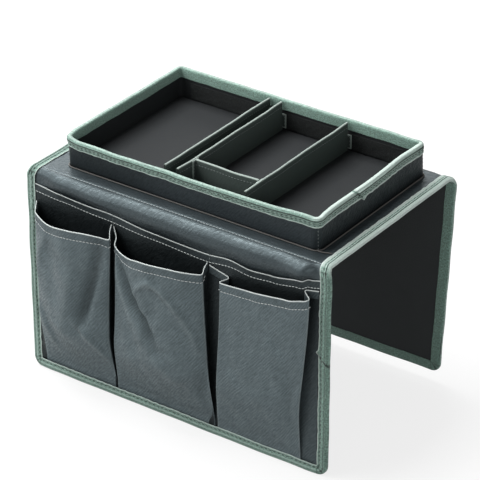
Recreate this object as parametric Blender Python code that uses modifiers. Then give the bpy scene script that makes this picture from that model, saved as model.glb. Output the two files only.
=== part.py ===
"""Sofa armrest organizer.

A padded saddle panel lies over the arm of a sofa. Two stiffened flaps hang from it on soft
folds: the front one carries a slip pocket and three pleated pockets, the rear one is plain.
An open tray with lift-out dividers is sewn on top, and a folded tape binds every free edge.

Metres, +Z up. +X runs along the arm, the front flap hangs on the -Y side, and the origin is
the centre of the saddle's underside, which lies on the arm.
"""
import math

import bmesh
import bpy
from mathutils import Matrix, Vector

# Overall sizes
SADDLE_LENGTH = 0.411
FLAP_LENGTH = 0.420
BODY_DEPTH = 0.262
FRONT_DROP = 0.267
REAR_DROP = 0.254
REAR_LEAN = math.radians(4.6)
BEND_RADIUS = 0.010
FLAP_CORNER_RADIUS = 0.012

# Layers of the saddle and the flaps, from the arm outwards
LINING_THICKNESS = 0.0006
BOARD_THICKNESS = 0.0016
COVER_THICKNESS = 0.0008
LAYER_GAP = 0.0003

# Binding tape, folded over every free edge
TAPE_WIDTH = 0.0125
TAPE_THICKNESS = 0.0006
TAPE_ROUNDING = 0.0014

# Tray: the saddle's bare margins round its outer skin, and the height of its bound rim
TRAY_LEFT_MARGIN = 0.0345
TRAY_RIGHT_MARGIN = 0.0285
TRAY_FRONT_MARGIN = 0.026
TRAY_REAR_MARGIN = 0.017
TRAY_HEIGHT = 0.042
TRAY_CORNER_RADIUS = 0.0080
TRAY_SKIN_THICKNESS = 0.0009
TRAY_BOARD_THICKNESS = 0.0020
TRAY_LINING_THICKNESS = 0.0006
RIM_TAPE_HEIGHT = 0.0125
WELT_WIDTH = 0.0022
WELT_HEIGHT = 0.0014
LOOP_STRIP_HEIGHT = 0.020
LOOP_STRIP_THICKNESS = 0.0010
LOOP_STRIP_LIFT = 0.0020

# Dividers
DIVIDER_CORE_THICKNESS = 0.0012
DIVIDER_SLEEVE_THICKNESS = 0.0005
DIVIDER_BELOW_RIM = 0.0020
LEFT_COMPARTMENT_WIDTH = 0.1350
SLOT_WIDTH = 0.0180
MIDDLE_COMPARTMENT_WIDTH = 0.0915
FRONT_COMPARTMENT_DEPTH = 0.0380
HOOK_TAB_WIDTH = 0.0120
HOOK_TAB_HEIGHT = 0.0180
HOOK_TAB_THICKNESS = 0.0010

# Slip pocket: one sheet behind the three pleated pockets
SLIP_THICKNESS = 0.0006
SLIP_EDGE_DEPTH = 0.0315
SLIP_GAPE = 0.0030
SLIP_GAPE_HEIGHT = 0.0100

# Pleated pockets: sheet, seams, and the depths that the three pockets' shares follow
POCKET_THICKNESS = 0.0008
POCKET_SEAM_HALF = 0.0012
LEFT_POCKET_WIDTH = 0.1250
MIDDLE_POCKET_WIDTH = 0.1340
POCKET_MOUTH_DEPTH = 0.0520
POCKET_SIDE_DEPTH = 0.0130
POCKET_SWELL = 0.0160
POCKET_SWELL_HEIGHT = 0.075
PLEAT_PITCH = 0.0012
FOLD_DEPTH = 0.0030
FOLD_WIDTH = 0.0115

# One overrun serves every cut
CUT_OVERRUN = 0.004

# Counts and angles
CORNER_STEPS = 6
BEND_STEPS = 8
TAPE_STEPS = 3
WELT_STEPS = 3
SLEEVE_STEPS = 6
SMOOTH_ANGLE = math.radians(30)
SHARP_ANGLE = math.radians(60)
WELD_SHARE = 0.05

# Worked out from the sizes above
PANEL_THICKNESS = LINING_THICKNESS + BOARD_THICKNESS + COVER_THICKNESS + 2 * LAYER_GAP
TAPE_STAND_OFF = LAYER_GAP + TAPE_THICKNESS
PANEL_Z = TAPE_STAND_OFF
TOP_Z = PANEL_Z + PANEL_THICKNESS
CREASE_Y = BODY_DEPTH / 2 - BEND_RADIUS
FOLD_CENTRE_Z = TOP_Z - BEND_RADIUS
SADDLE_HALF_LENGTH = SADDLE_LENGTH / 2 - TAPE_STAND_OFF
FLAP_HALF_LENGTH = FLAP_LENGTH / 2 - TAPE_STAND_OFF
POCKET_END_X = FLAP_LENGTH / 2 - TAPE_WIDTH - POCKET_SEAM_HALF
SEAM_LEFT_X = LEFT_POCKET_WIDTH - FLAP_LENGTH / 2
SEAM_RIGHT_X = SEAM_LEFT_X + MIDDLE_POCKET_WIDTH
TRAY_LOW = (TRAY_LEFT_MARGIN - SADDLE_LENGTH / 2, TRAY_FRONT_MARGIN - BODY_DEPTH / 2)
TRAY_HIGH = (SADDLE_LENGTH / 2 - TRAY_RIGHT_MARGIN, BODY_DEPTH / 2 - TRAY_REAR_MARGIN)
DIVIDER_LEFT_X = TRAY_LOW[0] + LEFT_COMPARTMENT_WIDTH
DIVIDER_MIDDLE_X = DIVIDER_LEFT_X + SLOT_WIDTH
DIVIDER_RIGHT_X = DIVIDER_MIDDLE_X + MIDDLE_COMPARTMENT_WIDTH
CROSS_DIVIDER_Y = TRAY_LOW[1] + FRONT_COMPARTMENT_DEPTH

# Finishes: sRGB colour and roughness
LEATHERETTE = (0x3E4346, 0.46)
POCKET_LEATHERETTE = (0x5A6062, 0.50)
TRAY_LEATHERETTE = (0x34373A, 0.52)
LINING_CLOTH = (0x1E2020, 0.85)
TAPE_CLOTH = (0x6E8A80, 0.80)
CARD = (0x8C7A62, 0.90)
DIVIDER_CLOTH = (0x3C4442, 0.75)
HOOK_AND_LOOP = (0x232525, 0.95)


class PocketForm:
    """The form of one pleated pocket between its two seams."""

    def __init__(self, seams, mouth_shares, foot_shares, stand_shares, swell_share):
        """Takes the pocket's seams, and its form as shares of the sizes above.

        seams: x of the left and right seams on the slip pocket.
        mouth_shares: the face's left and right edges at the mouth, across the pocket's width.
        foot_shares: the same at the foot.
        stand_shares: how far those edges stand off at the mouth, of the side depth.
        swell_share: how far the face's middle stands out past its edges, of the swell.
        """
        self.seams = seams
        self.width = seams[1] - seams[0]
        self.mouth = [seams[0] + share * self.width for share in mouth_shares]
        self.foot = [seams[0] + share * self.width for share in foot_shares]
        self.stand = [share * POCKET_SIDE_DEPTH for share in stand_shares]
        self.swell = swell_share * POCKET_SWELL
        self.seam_depths = (POCKET_MOUTH_DEPTH, POCKET_MOUTH_DEPTH)
        self.face_depths = ()
        self.pleats = None
        self.folds = ()

    def set_mouth(self, seam_shares, face_shares):
        """Gives the mouth's depth, of the mouth depth, at the two seams and at places across the face."""
        self.seam_depths = [share * POCKET_MOUTH_DEPTH for share in seam_shares]
        self.face_depths = [(place, share * POCKET_MOUTH_DEPTH) for place, share in face_shares]

    def set_pleats(self, mouth_shares, foot_shares):
        """Gives the gussets an inner fold each, at shares of the width at the mouth and the foot."""
        pairs = zip(mouth_shares, foot_shares)
        self.pleats = [[self.seams[0] + share * self.width for share in pair] for pair in pairs]

    def set_folds(self, fold_shares):
        """Gives the face soft creases: start and end on the face, depth and width, all as shares."""
        self.folds = [
            (start, end, depth * FOLD_DEPTH, width * FOLD_WIDTH)
            for start, end, depth, width in fold_shares
        ]


# Mouths of the three faces, their soft creases and the pleats of the right pocket
LEFT_MOUTH_SHARES = ((0.0, 0.93), (0.25, 1.0), (0.54, 0.92), (0.77, 0.89), (1.0, 0.955))
MIDDLE_MOUTH_SHARES = ((0.0, 1.05), (0.08, 1.11), (0.23, 1.10), (0.46, 1.03), (0.68, 1.0), (1.0, 1.01))
RIGHT_MOUTH_SHARES = ((0.0, 1.07), (0.31, 1.0), (0.76, 0.895), (0.95, 0.79), (1.0, 0.71))
LEFT_FOLD_SHARES = (
    ((0.24, 0.96), (0.30, 0.55), 1.0, 1.0),
    ((0.72, 0.92), (0.66, 0.50), 0.8, 1.0),
    ((0.06, 0.42), (0.46, 0.05), 1.3, 1.0),
)
MIDDLE_FOLD_SHARES = (
    ((0.05, 0.97), (0.34, 0.30), 1.5, 1.0),
    ((0.58, 0.95), (0.50, 0.62), 1.0, 1.0),
    ((0.95, 0.30), (0.60, 0.06), 1.0, 1.0),
)
RIGHT_FOLD_SHARES = (
    ((0.10, 0.90), (0.16, 0.30), 0.4, 1.0),
    ((0.80, 0.70), (0.90, 0.20), 0.4, 1.0),
)
RIGHT_PLEAT_SHARES = ((0.185, 0.815), (0.178, 0.745))

LEFT_POCKET = PocketForm(
    seams=(-POCKET_END_X, SEAM_LEFT_X - POCKET_SEAM_HALF),
    mouth_shares=(0.057, 1.061),
    foot_shares=(0.066, 0.997),
    stand_shares=(0.92, 1.0),
    swell_share=0.94,
)
LEFT_POCKET.set_mouth((0.79, 0.72), LEFT_MOUTH_SHARES)
LEFT_POCKET.set_folds(LEFT_FOLD_SHARES)
MIDDLE_POCKET = PocketForm(
    seams=(SEAM_LEFT_X + POCKET_SEAM_HALF, SEAM_RIGHT_X - POCKET_SEAM_HALF),
    mouth_shares=(0.068, 1.013),
    foot_shares=(0.014, 0.990),
    stand_shares=(1.0, 0.92),
    swell_share=1.0,
)
MIDDLE_POCKET.set_mouth((0.87, 0.82), MIDDLE_MOUTH_SHARES)
MIDDLE_POCKET.set_folds(MIDDLE_FOLD_SHARES)
RIGHT_POCKET = PocketForm(
    seams=(SEAM_RIGHT_X + POCKET_SEAM_HALF, POCKET_END_X),
    mouth_shares=(0.132, 0.965),
    foot_shares=(0.105, 0.858),
    stand_shares=(0.85, 0.81),
    swell_share=0.19,
)
RIGHT_POCKET.set_mouth((0.86, 0.56), RIGHT_MOUTH_SHARES)
RIGHT_POCKET.set_pleats(*RIGHT_PLEAT_SHARES)
RIGHT_POCKET.set_folds(RIGHT_FOLD_SHARES)


def linear(channel):
    """One sRGB channel, 0 to 255, as a linear value."""
    share = channel / 255
    return share / 12.92 if share <= 0.04045 else ((share + 0.055) / 1.055) ** 2.4


def clear_scene():
    """Takes every object out of the scene."""
    for thing in list(bpy.data.objects):
        bpy.data.objects.remove(thing, do_unlink=True)


def new_collection(name):
    """A new collection in the scene."""
    collection = bpy.data.collections.new(name)
    bpy.context.scene.collection.children.link(collection)
    return collection


clear_scene()
PARTS = new_collection("sofa_armrest_organizer")
CUTTERS = new_collection("cutters")


def paint(thing, finish):
    """Gives a part its own Principled material."""
    colour, roughness = finish
    material = bpy.data.materials.new(thing.name)
    material.use_nodes = True
    shader = material.node_tree.nodes["Principled BSDF"]
    channels = ((colour >> 16) & 255, (colour >> 8) & 255, colour & 255)
    shader.inputs["Base Color"].default_value = (*[linear(c) for c in channels], 1.0)
    shader.inputs["Roughness"].default_value = roughness
    shader.inputs["Metallic"].default_value = 0.0
    thing.data.materials.clear()
    thing.data.materials.append(material)


def add_part(name, mesh, finish, parent=None):
    """Links a mesh as a named part, hung on its body's empty where it has one."""
    thing = bpy.data.objects.new(name, mesh)
    PARTS.objects.link(thing)
    paint(thing, finish)
    hang(thing, parent)
    return thing


def hang(thing, parent):
    """Parents a piece to an empty and leaves it where it is."""
    if parent is not None:
        thing.parent = parent
        thing.matrix_parent_inverse = Matrix.Translation(-parent.location)


def add_cutter(name, mesh, parent=None):
    """Links a mesh as a hidden cutting shape."""
    thing = bpy.data.objects.new(name, mesh)
    CUTTERS.objects.link(thing)
    thing.display_type = 'WIRE'
    thing.hide_render = True
    hang(thing, parent)
    return thing


def cut(thing, cutter):
    """Takes a cutting shape out of a part."""
    modifier = thing.modifiers.new(cutter.name, 'BOOLEAN')
    modifier.operation = 'DIFFERENCE'
    modifier.solver = 'EXACT'
    modifier.object = cutter


def round_edges(thing, width, steps):
    """Rounds a part's square edges."""
    bevel = thing.modifiers.new("rounded edge", 'BEVEL')
    bevel.width = width
    bevel.segments = steps
    bevel.limit_method = 'ANGLE'
    bevel.angle_limit = SHARP_ANGLE


def add_empty(name, place):
    """An empty on a joint's axis, for the pieces that move with it."""
    empty = bpy.data.objects.new(name, None)
    empty.location = place
    PARTS.objects.link(empty)
    return empty


def mesh_from(builder, name):
    """Turns a bmesh into a mesh with its faces pointing out."""
    bmesh.ops.recalc_face_normals(builder, faces=builder.faces)
    mesh = bpy.data.meshes.new(name)
    builder.to_mesh(mesh)
    builder.free()
    return mesh


def box_mesh(name, low, high):
    """A box between two corners."""
    builder = bmesh.new()
    middle = [(a + b) / 2 for a, b in zip(low, high)]
    size = [b - a for a, b in zip(low, high)]
    place = Matrix.Translation(middle) @ Matrix.Diagonal((*size, 1.0))
    bmesh.ops.create_cube(builder, size=1.0, matrix=place)
    return mesh_from(builder, name)


def plate_mesh(name, outlines, low, high, turn=None):
    """Flat outlines in XY, extruded from low to high along Z and then turned."""
    curve = bpy.data.curves.new(name, 'CURVE')
    curve.dimensions = '2D'
    curve.fill_mode = 'BOTH'
    curve.extrude = (high - low) / 2
    for outline in outlines:
        spline = curve.splines.new('POLY')
        spline.points.add(len(outline) - 1)
        for point, (x, y) in zip(spline.points, outline):
            point.co = (x, y, 0.0, 1.0)
        spline.use_cyclic_u = True
    guide = bpy.data.objects.new(name, curve)
    CUTTERS.objects.link(guide)
    bpy.context.view_layer.update()
    flat = bpy.data.meshes.new_from_object(guide.evaluated_get(bpy.context.evaluated_depsgraph_get()))
    bpy.data.objects.remove(guide, do_unlink=True)
    bpy.data.curves.remove(curve)
    builder = bmesh.new()
    builder.from_mesh(flat)
    bpy.data.meshes.remove(flat)
    bmesh.ops.remove_doubles(builder, verts=builder.verts, dist=LAYER_GAP * WELD_SHARE)
    place = Matrix.Translation((0, 0, (high + low) / 2))
    if turn is not None:
        place = turn @ place
    bmesh.ops.transform(builder, matrix=place, verts=builder.verts)
    return mesh_from(builder, name)


def arc(centre, radius, start, end, steps):
    """Points on an arc, with both its ends."""
    angles = [start + (end - start) * step / steps for step in range(steps + 1)]
    return [(centre[0] + radius * math.cos(a), centre[1] + radius * math.sin(a)) for a in angles]


def rounded_rectangle(low, high, radius):
    """A closed rectangle with rounded corners."""
    corners = (
        ((high[0] - radius, high[1] - radius), 0.0),
        ((low[0] + radius, high[1] - radius), 0.25),
        ((low[0] + radius, low[1] + radius), 0.5),
        ((high[0] - radius, low[1] + radius), 0.75),
    )
    points = []
    for centre, share in corners:
        start = share * math.tau
        points += arc(centre, radius, start, start + math.tau / 4, CORNER_STEPS)
    return points


def tape_profile(inner_height, width):
    """A folded tape's section: (distance in from the edge, height over its lower face)."""
    height = inner_height + 2 * TAPE_STAND_OFF
    r = TAPE_ROUNDING
    lower = arc((r, r), r, 0.75 * math.tau, 0.5 * math.tau, TAPE_STEPS)
    upper = arc((r, height - r), r, 0.5 * math.tau, 0.25 * math.tau, TAPE_STEPS)
    inner = [
        (width, height),
        (width, height - TAPE_THICKNESS),
        (TAPE_THICKNESS, height - TAPE_THICKNESS),
        (TAPE_THICKNESS, TAPE_THICKNESS),
        (width, TAPE_THICKNESS),
    ]
    return [(width, 0.0)] + lower + upper + inner


def tape_section(side):
    """The end binding's section as (x, height over the lining face), at one end of the saddle."""
    profile = tape_profile(PANEL_THICKNESS, TAPE_WIDTH)
    return [(side * (SADDLE_LENGTH / 2 - inward), height - TAPE_STAND_OFF) for inward, height in profile]


def layer_section(low, thickness):
    """A layer's section across the saddle's length, as (x, height over the lining face)."""
    half = SADDLE_HALF_LENGTH
    high = low + thickness
    return [(-half, low), (half, low), (half, high), (-half, high)]


BOARD_LOW = LINING_THICKNESS + LAYER_GAP
COVER_LOW = BOARD_LOW + BOARD_THICKNESS + LAYER_GAP
LAYERS = (
    ("lining", 0.0, LINING_THICKNESS, LINING_CLOTH),
    ("board", BOARD_LOW, BOARD_THICKNESS, CARD),
    ("cover", COVER_LOW, COVER_THICKNESS, LEATHERETTE),
)


def padded_section():
    """The saddle lining's section: padded between the tapes, level with their lower faces."""
    pad = SADDLE_LENGTH / 2 - TAPE_WIDTH - LAYER_GAP
    ends = layer_section(0.0, LINING_THICKNESS)
    return [ends[0], (-pad, 0.0), (-pad, -PANEL_Z), (pad, -PANEL_Z), (pad, 0.0)] + ends[1:]


def build_saddle():
    """The top panel's three layers and the tape on its two ends."""
    end = CREASE_Y - LAYER_GAP
    sections = [
        ("top_cover", layer_section(COVER_LOW, COVER_THICKNESS), LEATHERETTE),
        ("top_board", layer_section(BOARD_LOW, BOARD_THICKNESS), CARD),
        ("top_lining", padded_section(), LINING_CLOTH),
        ("top_binding_left", tape_section(-1), TAPE_CLOTH),
        ("top_binding_right", tape_section(1), TAPE_CLOTH),
    ]
    turn = Matrix.Translation((0.0, 0.0, PANEL_Z)) @ Matrix.Rotation(math.tau / 4, 4, 'X')
    for name, section, finish in sections:
        add_part(name, plate_mesh(name, [section], -end, end, turn), finish)


def bend_mesh(name, section, side, angle):
    """A section of (x, height over the lining face) swept round a fold, which widens to the flap."""
    builder = bmesh.new()
    inner_radius = BEND_RADIUS - PANEL_THICKNESS
    widening = (FLAP_LENGTH - SADDLE_LENGTH) / 2
    rings = []
    for step in range(BEND_STEPS + 1):
        share = step / BEND_STEPS
        turned = share * angle
        ring = []
        for x, height in section:
            radius = inner_radius + height
            y = side * (CREASE_Y + radius * math.sin(turned))
            z = FOLD_CENTRE_Z + radius * math.cos(turned)
            ring.append(builder.verts.new((x + math.copysign(share * widening, x), y, z)))
        rings.append(ring)
    for near, far in zip(rings, rings[1:]):
        for a, b, c, d in zip(near, near[1:] + near[:1], far[1:] + far[:1], far):
            builder.faces.new((a, b, c, d))
    builder.faces.new(rings[0])
    builder.faces.new(rings[-1])
    return mesh_from(builder, name)


def build_fold(flap, side, angle):
    """The soft fold between the saddle and a flap: cover, lining and the tape on both ends."""
    pieces = (
        ("cover", layer_section(COVER_LOW, COVER_THICKNESS), LEATHERETTE),
        ("lining", layer_section(0.0, LINING_THICKNESS), LINING_CLOTH),
        ("binding_left", tape_section(-1), TAPE_CLOTH),
        ("binding_right", tape_section(1), TAPE_CLOTH),
    )
    for piece, section, finish in pieces:
        name = flap + "_fold_" + piece
        thing = add_part(name, bend_mesh(name, section, side, angle), finish)
        thing.data.shade_smooth()
        thing.data.set_sharp_from_angle(angle=SMOOTH_ANGLE)


def fold_pivot(angle):
    """Where one hinge line serves a fold of this angle: past its crease, and below its outer face."""
    along = BEND_RADIUS * angle / 2
    below = BEND_RADIUS - along / math.tan(angle / 2)
    return along, below


class FlapFrame:
    """Where a flap hangs: its side, its outer face and its upper and lower ends."""

    def __init__(self, name, side, drop, lean, caught):
        """Takes the flap's side of the body, its drop, its lean and the sheets under its tape."""
        angle = math.tau / 4 + lean
        along, below = fold_pivot(angle)
        self.name = name
        self.side = side
        self.angle = angle
        pivot = (0.0, side * (CREASE_Y + along), TOP_Z - below)
        self.empty = add_empty(name + "_hinge", pivot)
        self.face_y = pivot[1] + side * below
        self.high_z = pivot[2] - along
        self.low_z = self.high_z - (drop - BEND_RADIUS * math.tan(angle / 2))
        self.caught = caught

    def outline(self, inset, rise=0.0, radius=None):
        """The flap's outline in XZ, drawn in by an inset and raised at its upper end."""
        half = FLAP_LENGTH / 2 - inset
        low = self.low_z + inset
        r = max(FLAP_CORNER_RADIUS - inset, 0.0) if radius is None else radius
        if r == 0.0:
            lower = [(-half, low), (half, low)]
        else:
            lower = arc((-half + r, low + r), r, 0.5 * math.tau, 0.75 * math.tau, CORNER_STEPS)
            lower += arc((half - r, low + r), r, 0.75 * math.tau, math.tau, CORNER_STEPS)
        high = self.high_z - LAYER_GAP + rise
        return [(-half, high)] + lower + [(half, high)]

    def plate(self, name, outline, inner, outer):
        """A plate between two distances in from the outer face; outside the face they are negative."""
        turn = Matrix.Rotation(math.tau / 4, 4, 'X')
        ends = sorted((-(self.face_y - self.side * inner), -(self.face_y - self.side * outer)))
        return plate_mesh(name, [outline], ends[0], ends[1], turn)


def build_flap_layers(flap):
    """The lining, board and cover of a flap."""
    for layer, low, thickness, finish in LAYERS:
        name = flap.name + "_" + layer
        inner = PANEL_THICKNESS - low
        mesh = flap.plate(name, flap.outline(TAPE_STAND_OFF), inner, inner - thickness)
        add_part(name, mesh, finish, flap.empty)


def build_flap_binding(flap):
    """The tape folded over a flap's two sides and its lower edge, with rounded corners."""
    name = flap.name + "_binding"
    inner = PANEL_THICKNESS + TAPE_STAND_OFF
    outer = -(TAPE_STAND_OFF + flap.caught)
    body = flap.plate(name, flap.outline(0.0, CUT_OVERRUN), inner, outer)
    thing = add_part(name, body, TAPE_CLOTH, flap.empty)
    round_edges(thing, TAPE_ROUNDING, TAPE_STEPS)
    slot = flap.plate(
        name + "_slot",
        flap.outline(TAPE_THICKNESS, 3 * CUT_OVERRUN),
        inner - TAPE_THICKNESS,
        outer + TAPE_THICKNESS,
    )
    window = flap.plate(
        name + "_window",
        flap.outline(TAPE_WIDTH, 3 * CUT_OVERRUN, 0.0),
        inner + CUT_OVERRUN,
        outer - CUT_OVERRUN,
    )
    reach = FLAP_LENGTH / 2 + CUT_OVERRUN
    depths = [flap.face_y - flap.side * d for d in (inner + CUT_OVERRUN, outer - CUT_OVERRUN)]
    upper = flap.high_z - LAYER_GAP
    trim = box_mesh(
        name + "_trim",
        (-reach, min(depths), upper),
        (reach, max(depths), upper + 2 * CUT_OVERRUN),
    )
    for cutter, mesh in (("_slot", slot), ("_window", window), ("_trim", trim)):
        cut(thing, add_cutter(name + cutter, mesh, flap.empty))


def grid_mesh(name, rows):
    """An open sheet through rows of points."""
    builder = bmesh.new()
    lines = [[builder.verts.new(point) for point in row] for row in rows]
    for near, far in zip(lines, lines[1:]):
        for a, b, c, d in zip(near, near[1:], far[1:], far):
            builder.faces.new((a, b, c, d))
    mesh = bpy.data.meshes.new(name)
    builder.to_mesh(mesh)
    builder.free()
    return mesh


def thicken(thing, thickness):
    """Gives an open sheet its thickness, half to each side."""
    solid = thing.modifiers.new("sheet", 'SOLIDIFY')
    solid.thickness = thickness
    solid.offset = 0.0
    solid.use_even_offset = True


def ease(share):
    """A smooth step from 0 to 1."""
    share = min(1.0, max(0.0, share))
    return share * share * (3 - 2 * share)


def blend(low, high, share):
    """The value at a share of the way from one value to another."""
    return low + (high - low) * share


SLIP_COLUMNS = 36
SLIP_ROW_SHARES = (0.0, 0.25, 0.5, 1.0)
SLIP_EDGE_SHARES = ((0.0, 0.59), (0.25, 0.78), (0.62, 1.0), (0.80, 0.94), (0.97, 0.50))


def table_value(table, place):
    """The value at a place in a table of (place, value), eased from each entry to the next."""
    value = table[0][1]
    for (near, low), (far, high) in zip(table, table[1:]):
        if place > near:
            value = blend(low, high, ease((place - near) / (far - near)))
    return value


def slip_edge_z(x):
    """Height of the slip pocket's upper edge, which sags unevenly between its two ends."""
    return TOP_Z - table_value(SLIP_EDGE_SHARES, x / FLAP_LENGTH + 0.5) * SLIP_EDGE_DEPTH


def slip_gape(x, drop):
    """How far the slip pocket stands off below its upper edge, between its seams."""
    edges = (TAPE_WIDTH - FLAP_HALF_LENGTH, SEAM_LEFT_X, SEAM_RIGHT_X, FLAP_HALF_LENGTH - TAPE_WIDTH)
    fade = max(0.0, 1 - drop / SLIP_GAPE_HEIGHT) ** 2
    for low, high in zip(edges, edges[1:]):
        if low < x < high:
            return SLIP_GAPE * fade * math.sin(math.pi * (x - low) / (high - low)) ** 2
    return 0.0


def build_slip_pocket(flap):
    """The flat sheet behind the pleated pockets, with its free upper edge a little open."""
    half = FLAP_HALF_LENGTH
    middle = -(LAYER_GAP + SLIP_THICKNESS / 2)
    low = flap.low_z + TAPE_STAND_OFF
    r = FLAP_CORNER_RADIUS - TAPE_STAND_OFF
    rows = []
    for share in SLIP_ROW_SHARES:
        row = []
        for column in range(SLIP_COLUMNS + 1):
            x = -half + 2 * half * column / SLIP_COLUMNS
            drop = share * SLIP_GAPE_HEIGHT
            y = flap.face_y + flap.side * (slip_gape(x, drop) - middle)
            row.append((x, y, slip_edge_z(x) - drop))
        rows.append(row)
    foot = []
    for column in range(SLIP_COLUMNS + 1):
        x = -half + 2 * half * column / SLIP_COLUMNS
        into = max(0.0, abs(x) - (half - r))
        rise = r - math.sqrt(max(0.0, r * r - into * into))
        foot.append((x, flap.face_y - flap.side * middle, low + rise))
    thing = add_part("slip_pocket", grid_mesh("slip_pocket", rows + [foot]), POCKET_LEATHERETTE, flap.empty)
    thicken(thing, SLIP_THICKNESS)


def fold_dent(folds, across, up, width, height):
    """Depth of the soft creases at a place on the face, given as shares of its width and height."""
    dent = 0.0
    here = Vector((across * width, up * height))
    for start, end, depth, spread in folds:
        a = Vector((start[0] * width, start[1] * height))
        b = Vector((end[0] * width, end[1] * height))
        along = max(0.0, min(1.0, (here - a).dot(b - a) / (b - a).length_squared))
        away = (here - a - (b - a) * along).length
        fade = math.sin(math.pi * blend(FOLD_END_SHARE, 1 - FOLD_END_SHARE, along))
        dent += depth * math.exp(-((away / spread) ** 2)) * fade
    return dent


FACE_COLUMNS = 18
CROWN_POWER_SHARE = 0.8
LEAST_STAND_SHARE = 0.6
FOLD_END_SHARE = 0.1
POCKET_ROW_SHARES = (0.0, 0.03, 0.07, 0.12, 0.18, 0.26, 0.36, 0.47, 0.58, 0.69, 0.80, 0.90, 0.96, 1.0)
GUSSET_SHARES = (0.0, 0.35, 0.7)
GUSSET_BOW_SHARE = 0.05


def pocket_side(form, side, share, swelling, seat):
    """A pocket's gusset from its seam to the face's edge, at a share of its height.

    Without a pleat it is one strip. With one it runs in along the slip pocket, turns and comes back.
    """
    seam = form.seams[side]
    face_x = blend(form.foot[side], form.mouth[side], ease(share))
    layers = 0 if form.pleats is None else 2
    face_stand = blend(seat + layers * PLEAT_PITCH, form.stand[side], swelling)
    if form.pleats is None:
        bow = GUSSET_BOW_SHARE * abs(face_stand) * (1 if side else -1)
        return [
            (blend(seam, face_x, s) + bow * math.sin(math.pi * s), blend(seat, face_stand, s))
            for s in GUSSET_SHARES
        ] + [(face_x, face_stand)]
    inward = 1 if side == 0 else -1
    at_mouth, at_foot = form.pleats[side]
    fold = blend(at_foot, at_mouth, share)
    turn = PLEAT_PITCH / 2
    back = seat + PLEAT_PITCH
    edge = face_stand - turn * (1 - swelling / 2)
    return [
        (seam, seat),
        (blend(seam, fold, 0.5), seat),
        (fold, seat),
        (fold + inward * turn, seat + turn),
        (fold, back),
        (blend(fold, face_x, 0.5), blend(back, edge - turn, 0.5)),
        (face_x, edge - turn),
        (face_x - inward * turn, edge),
        (face_x + inward * turn * swelling, face_stand),
    ]


def mouth_depths(form, side_count):
    """The mouth's depths from the left seam over the face to the right seam, one for each column."""
    face = [table_value(form.face_depths, column / FACE_COLUMNS) for column in range(FACE_COLUMNS + 1)]
    steps = [step / (side_count - 1) for step in range(side_count)]
    left = [blend(form.seam_depths[0], face[0], step) for step in steps]
    right = [blend(form.seam_depths[1], face[-1], step) for step in steps]
    return left + face[1:-1] + right[::-1]


def build_pocket(name, form, flap):
    """One pleated pocket: gussets from its two seams and a face that swells out from its foot."""
    foot_z = flap.low_z + TAPE_WIDTH + LAYER_GAP
    base = flap.face_y + flap.side * (LAYER_GAP + SLIP_THICKNESS)
    seat = LAYER_GAP + POCKET_THICKNESS / 2
    rows = []
    height = TOP_Z - POCKET_MOUTH_DEPTH - foot_z
    for share in POCKET_ROW_SHARES:
        swelling = ease(share * height / POCKET_SWELL_HEIGHT)
        left = pocket_side(form, 0, share, swelling, seat)
        right = pocket_side(form, 1, share, swelling, seat)
        (left_x, left_stand), (right_x, right_stand) = left[-1], right[-1]
        width = right_x - left_x
        face = []
        for column in range(1, FACE_COLUMNS):
            across = column / FACE_COLUMNS
            crown = form.swell * swelling * math.sin(math.pi * across) ** CROWN_POWER_SHARE
            dent = fold_dent(form.folds, across, share, width, height)
            flat = blend(left_stand, right_stand, across)
            stand = max(flat + crown - dent * swelling, flat * LEAST_STAND_SHARE)
            face.append((blend(left_x, right_x, across), stand))
        depths = mouth_depths(form, len(left))
        rows.append([
            (x, base + flap.side * stand, blend(foot_z, TOP_Z - depth, share))
            for (x, stand), depth in zip(left + face + right[::-1], depths)
        ])
    thing = add_part(name, grid_mesh(name, rows), POCKET_LEATHERETTE, flap.empty)
    thicken(thing, POCKET_THICKNESS)
    thing.data.shade_smooth()


def tray_rectangle(inset):
    """The tray's plan, drawn in from its outer skin by an inset."""
    low = (TRAY_LOW[0] + inset, TRAY_LOW[1] + inset)
    high = (TRAY_HIGH[0] - inset, TRAY_HIGH[1] - inset)
    return low, high


def tray_outline(inset):
    """The tray's plan with rounded corners, drawn in from its outer skin by an inset."""
    low, high = tray_rectangle(inset)
    return rounded_rectangle(low, high, max(TRAY_CORNER_RADIUS - inset, TAPE_THICKNESS))


def ring_mesh(name, section):
    """A ring round the tray: a section of (distance in from the outer skin, height) swept round it."""
    builder = bmesh.new()
    rings = [[builder.verts.new((x, y, z)) for x, y in tray_outline(inset)] for inset, z in section]
    for near, far in zip(rings, rings[1:] + rings[:1]):
        for a, b, c, d in zip(near, near[1:] + near[:1], far[1:] + far[:1], far):
            builder.faces.new((a, b, c, d))
    return mesh_from(builder, name)


TRAY_BASE_Z = TOP_Z + LAYER_GAP
WALL_TOP_Z = TOP_Z + TRAY_HEIGHT - TAPE_STAND_OFF
RIM_TOP_Z = TOP_Z + TRAY_HEIGHT
BOARD_OUT = TRAY_SKIN_THICKNESS + LAYER_GAP
BOARD_IN = BOARD_OUT + TRAY_BOARD_THICKNESS
LINING_OUT = BOARD_IN + LAYER_GAP
LINING_IN = LINING_OUT + TRAY_LINING_THICKNESS
FLOOR_EDGE = LINING_IN + LAYER_GAP
FLOOR_BOARD_TOP_Z = TRAY_BASE_Z + TRAY_BOARD_THICKNESS
FLOOR_TOP_Z = FLOOR_BOARD_TOP_Z + LAYER_GAP + TRAY_LINING_THICKNESS
LOOP_LOW_Z = FLOOR_TOP_Z + LOOP_STRIP_LIFT


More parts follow.
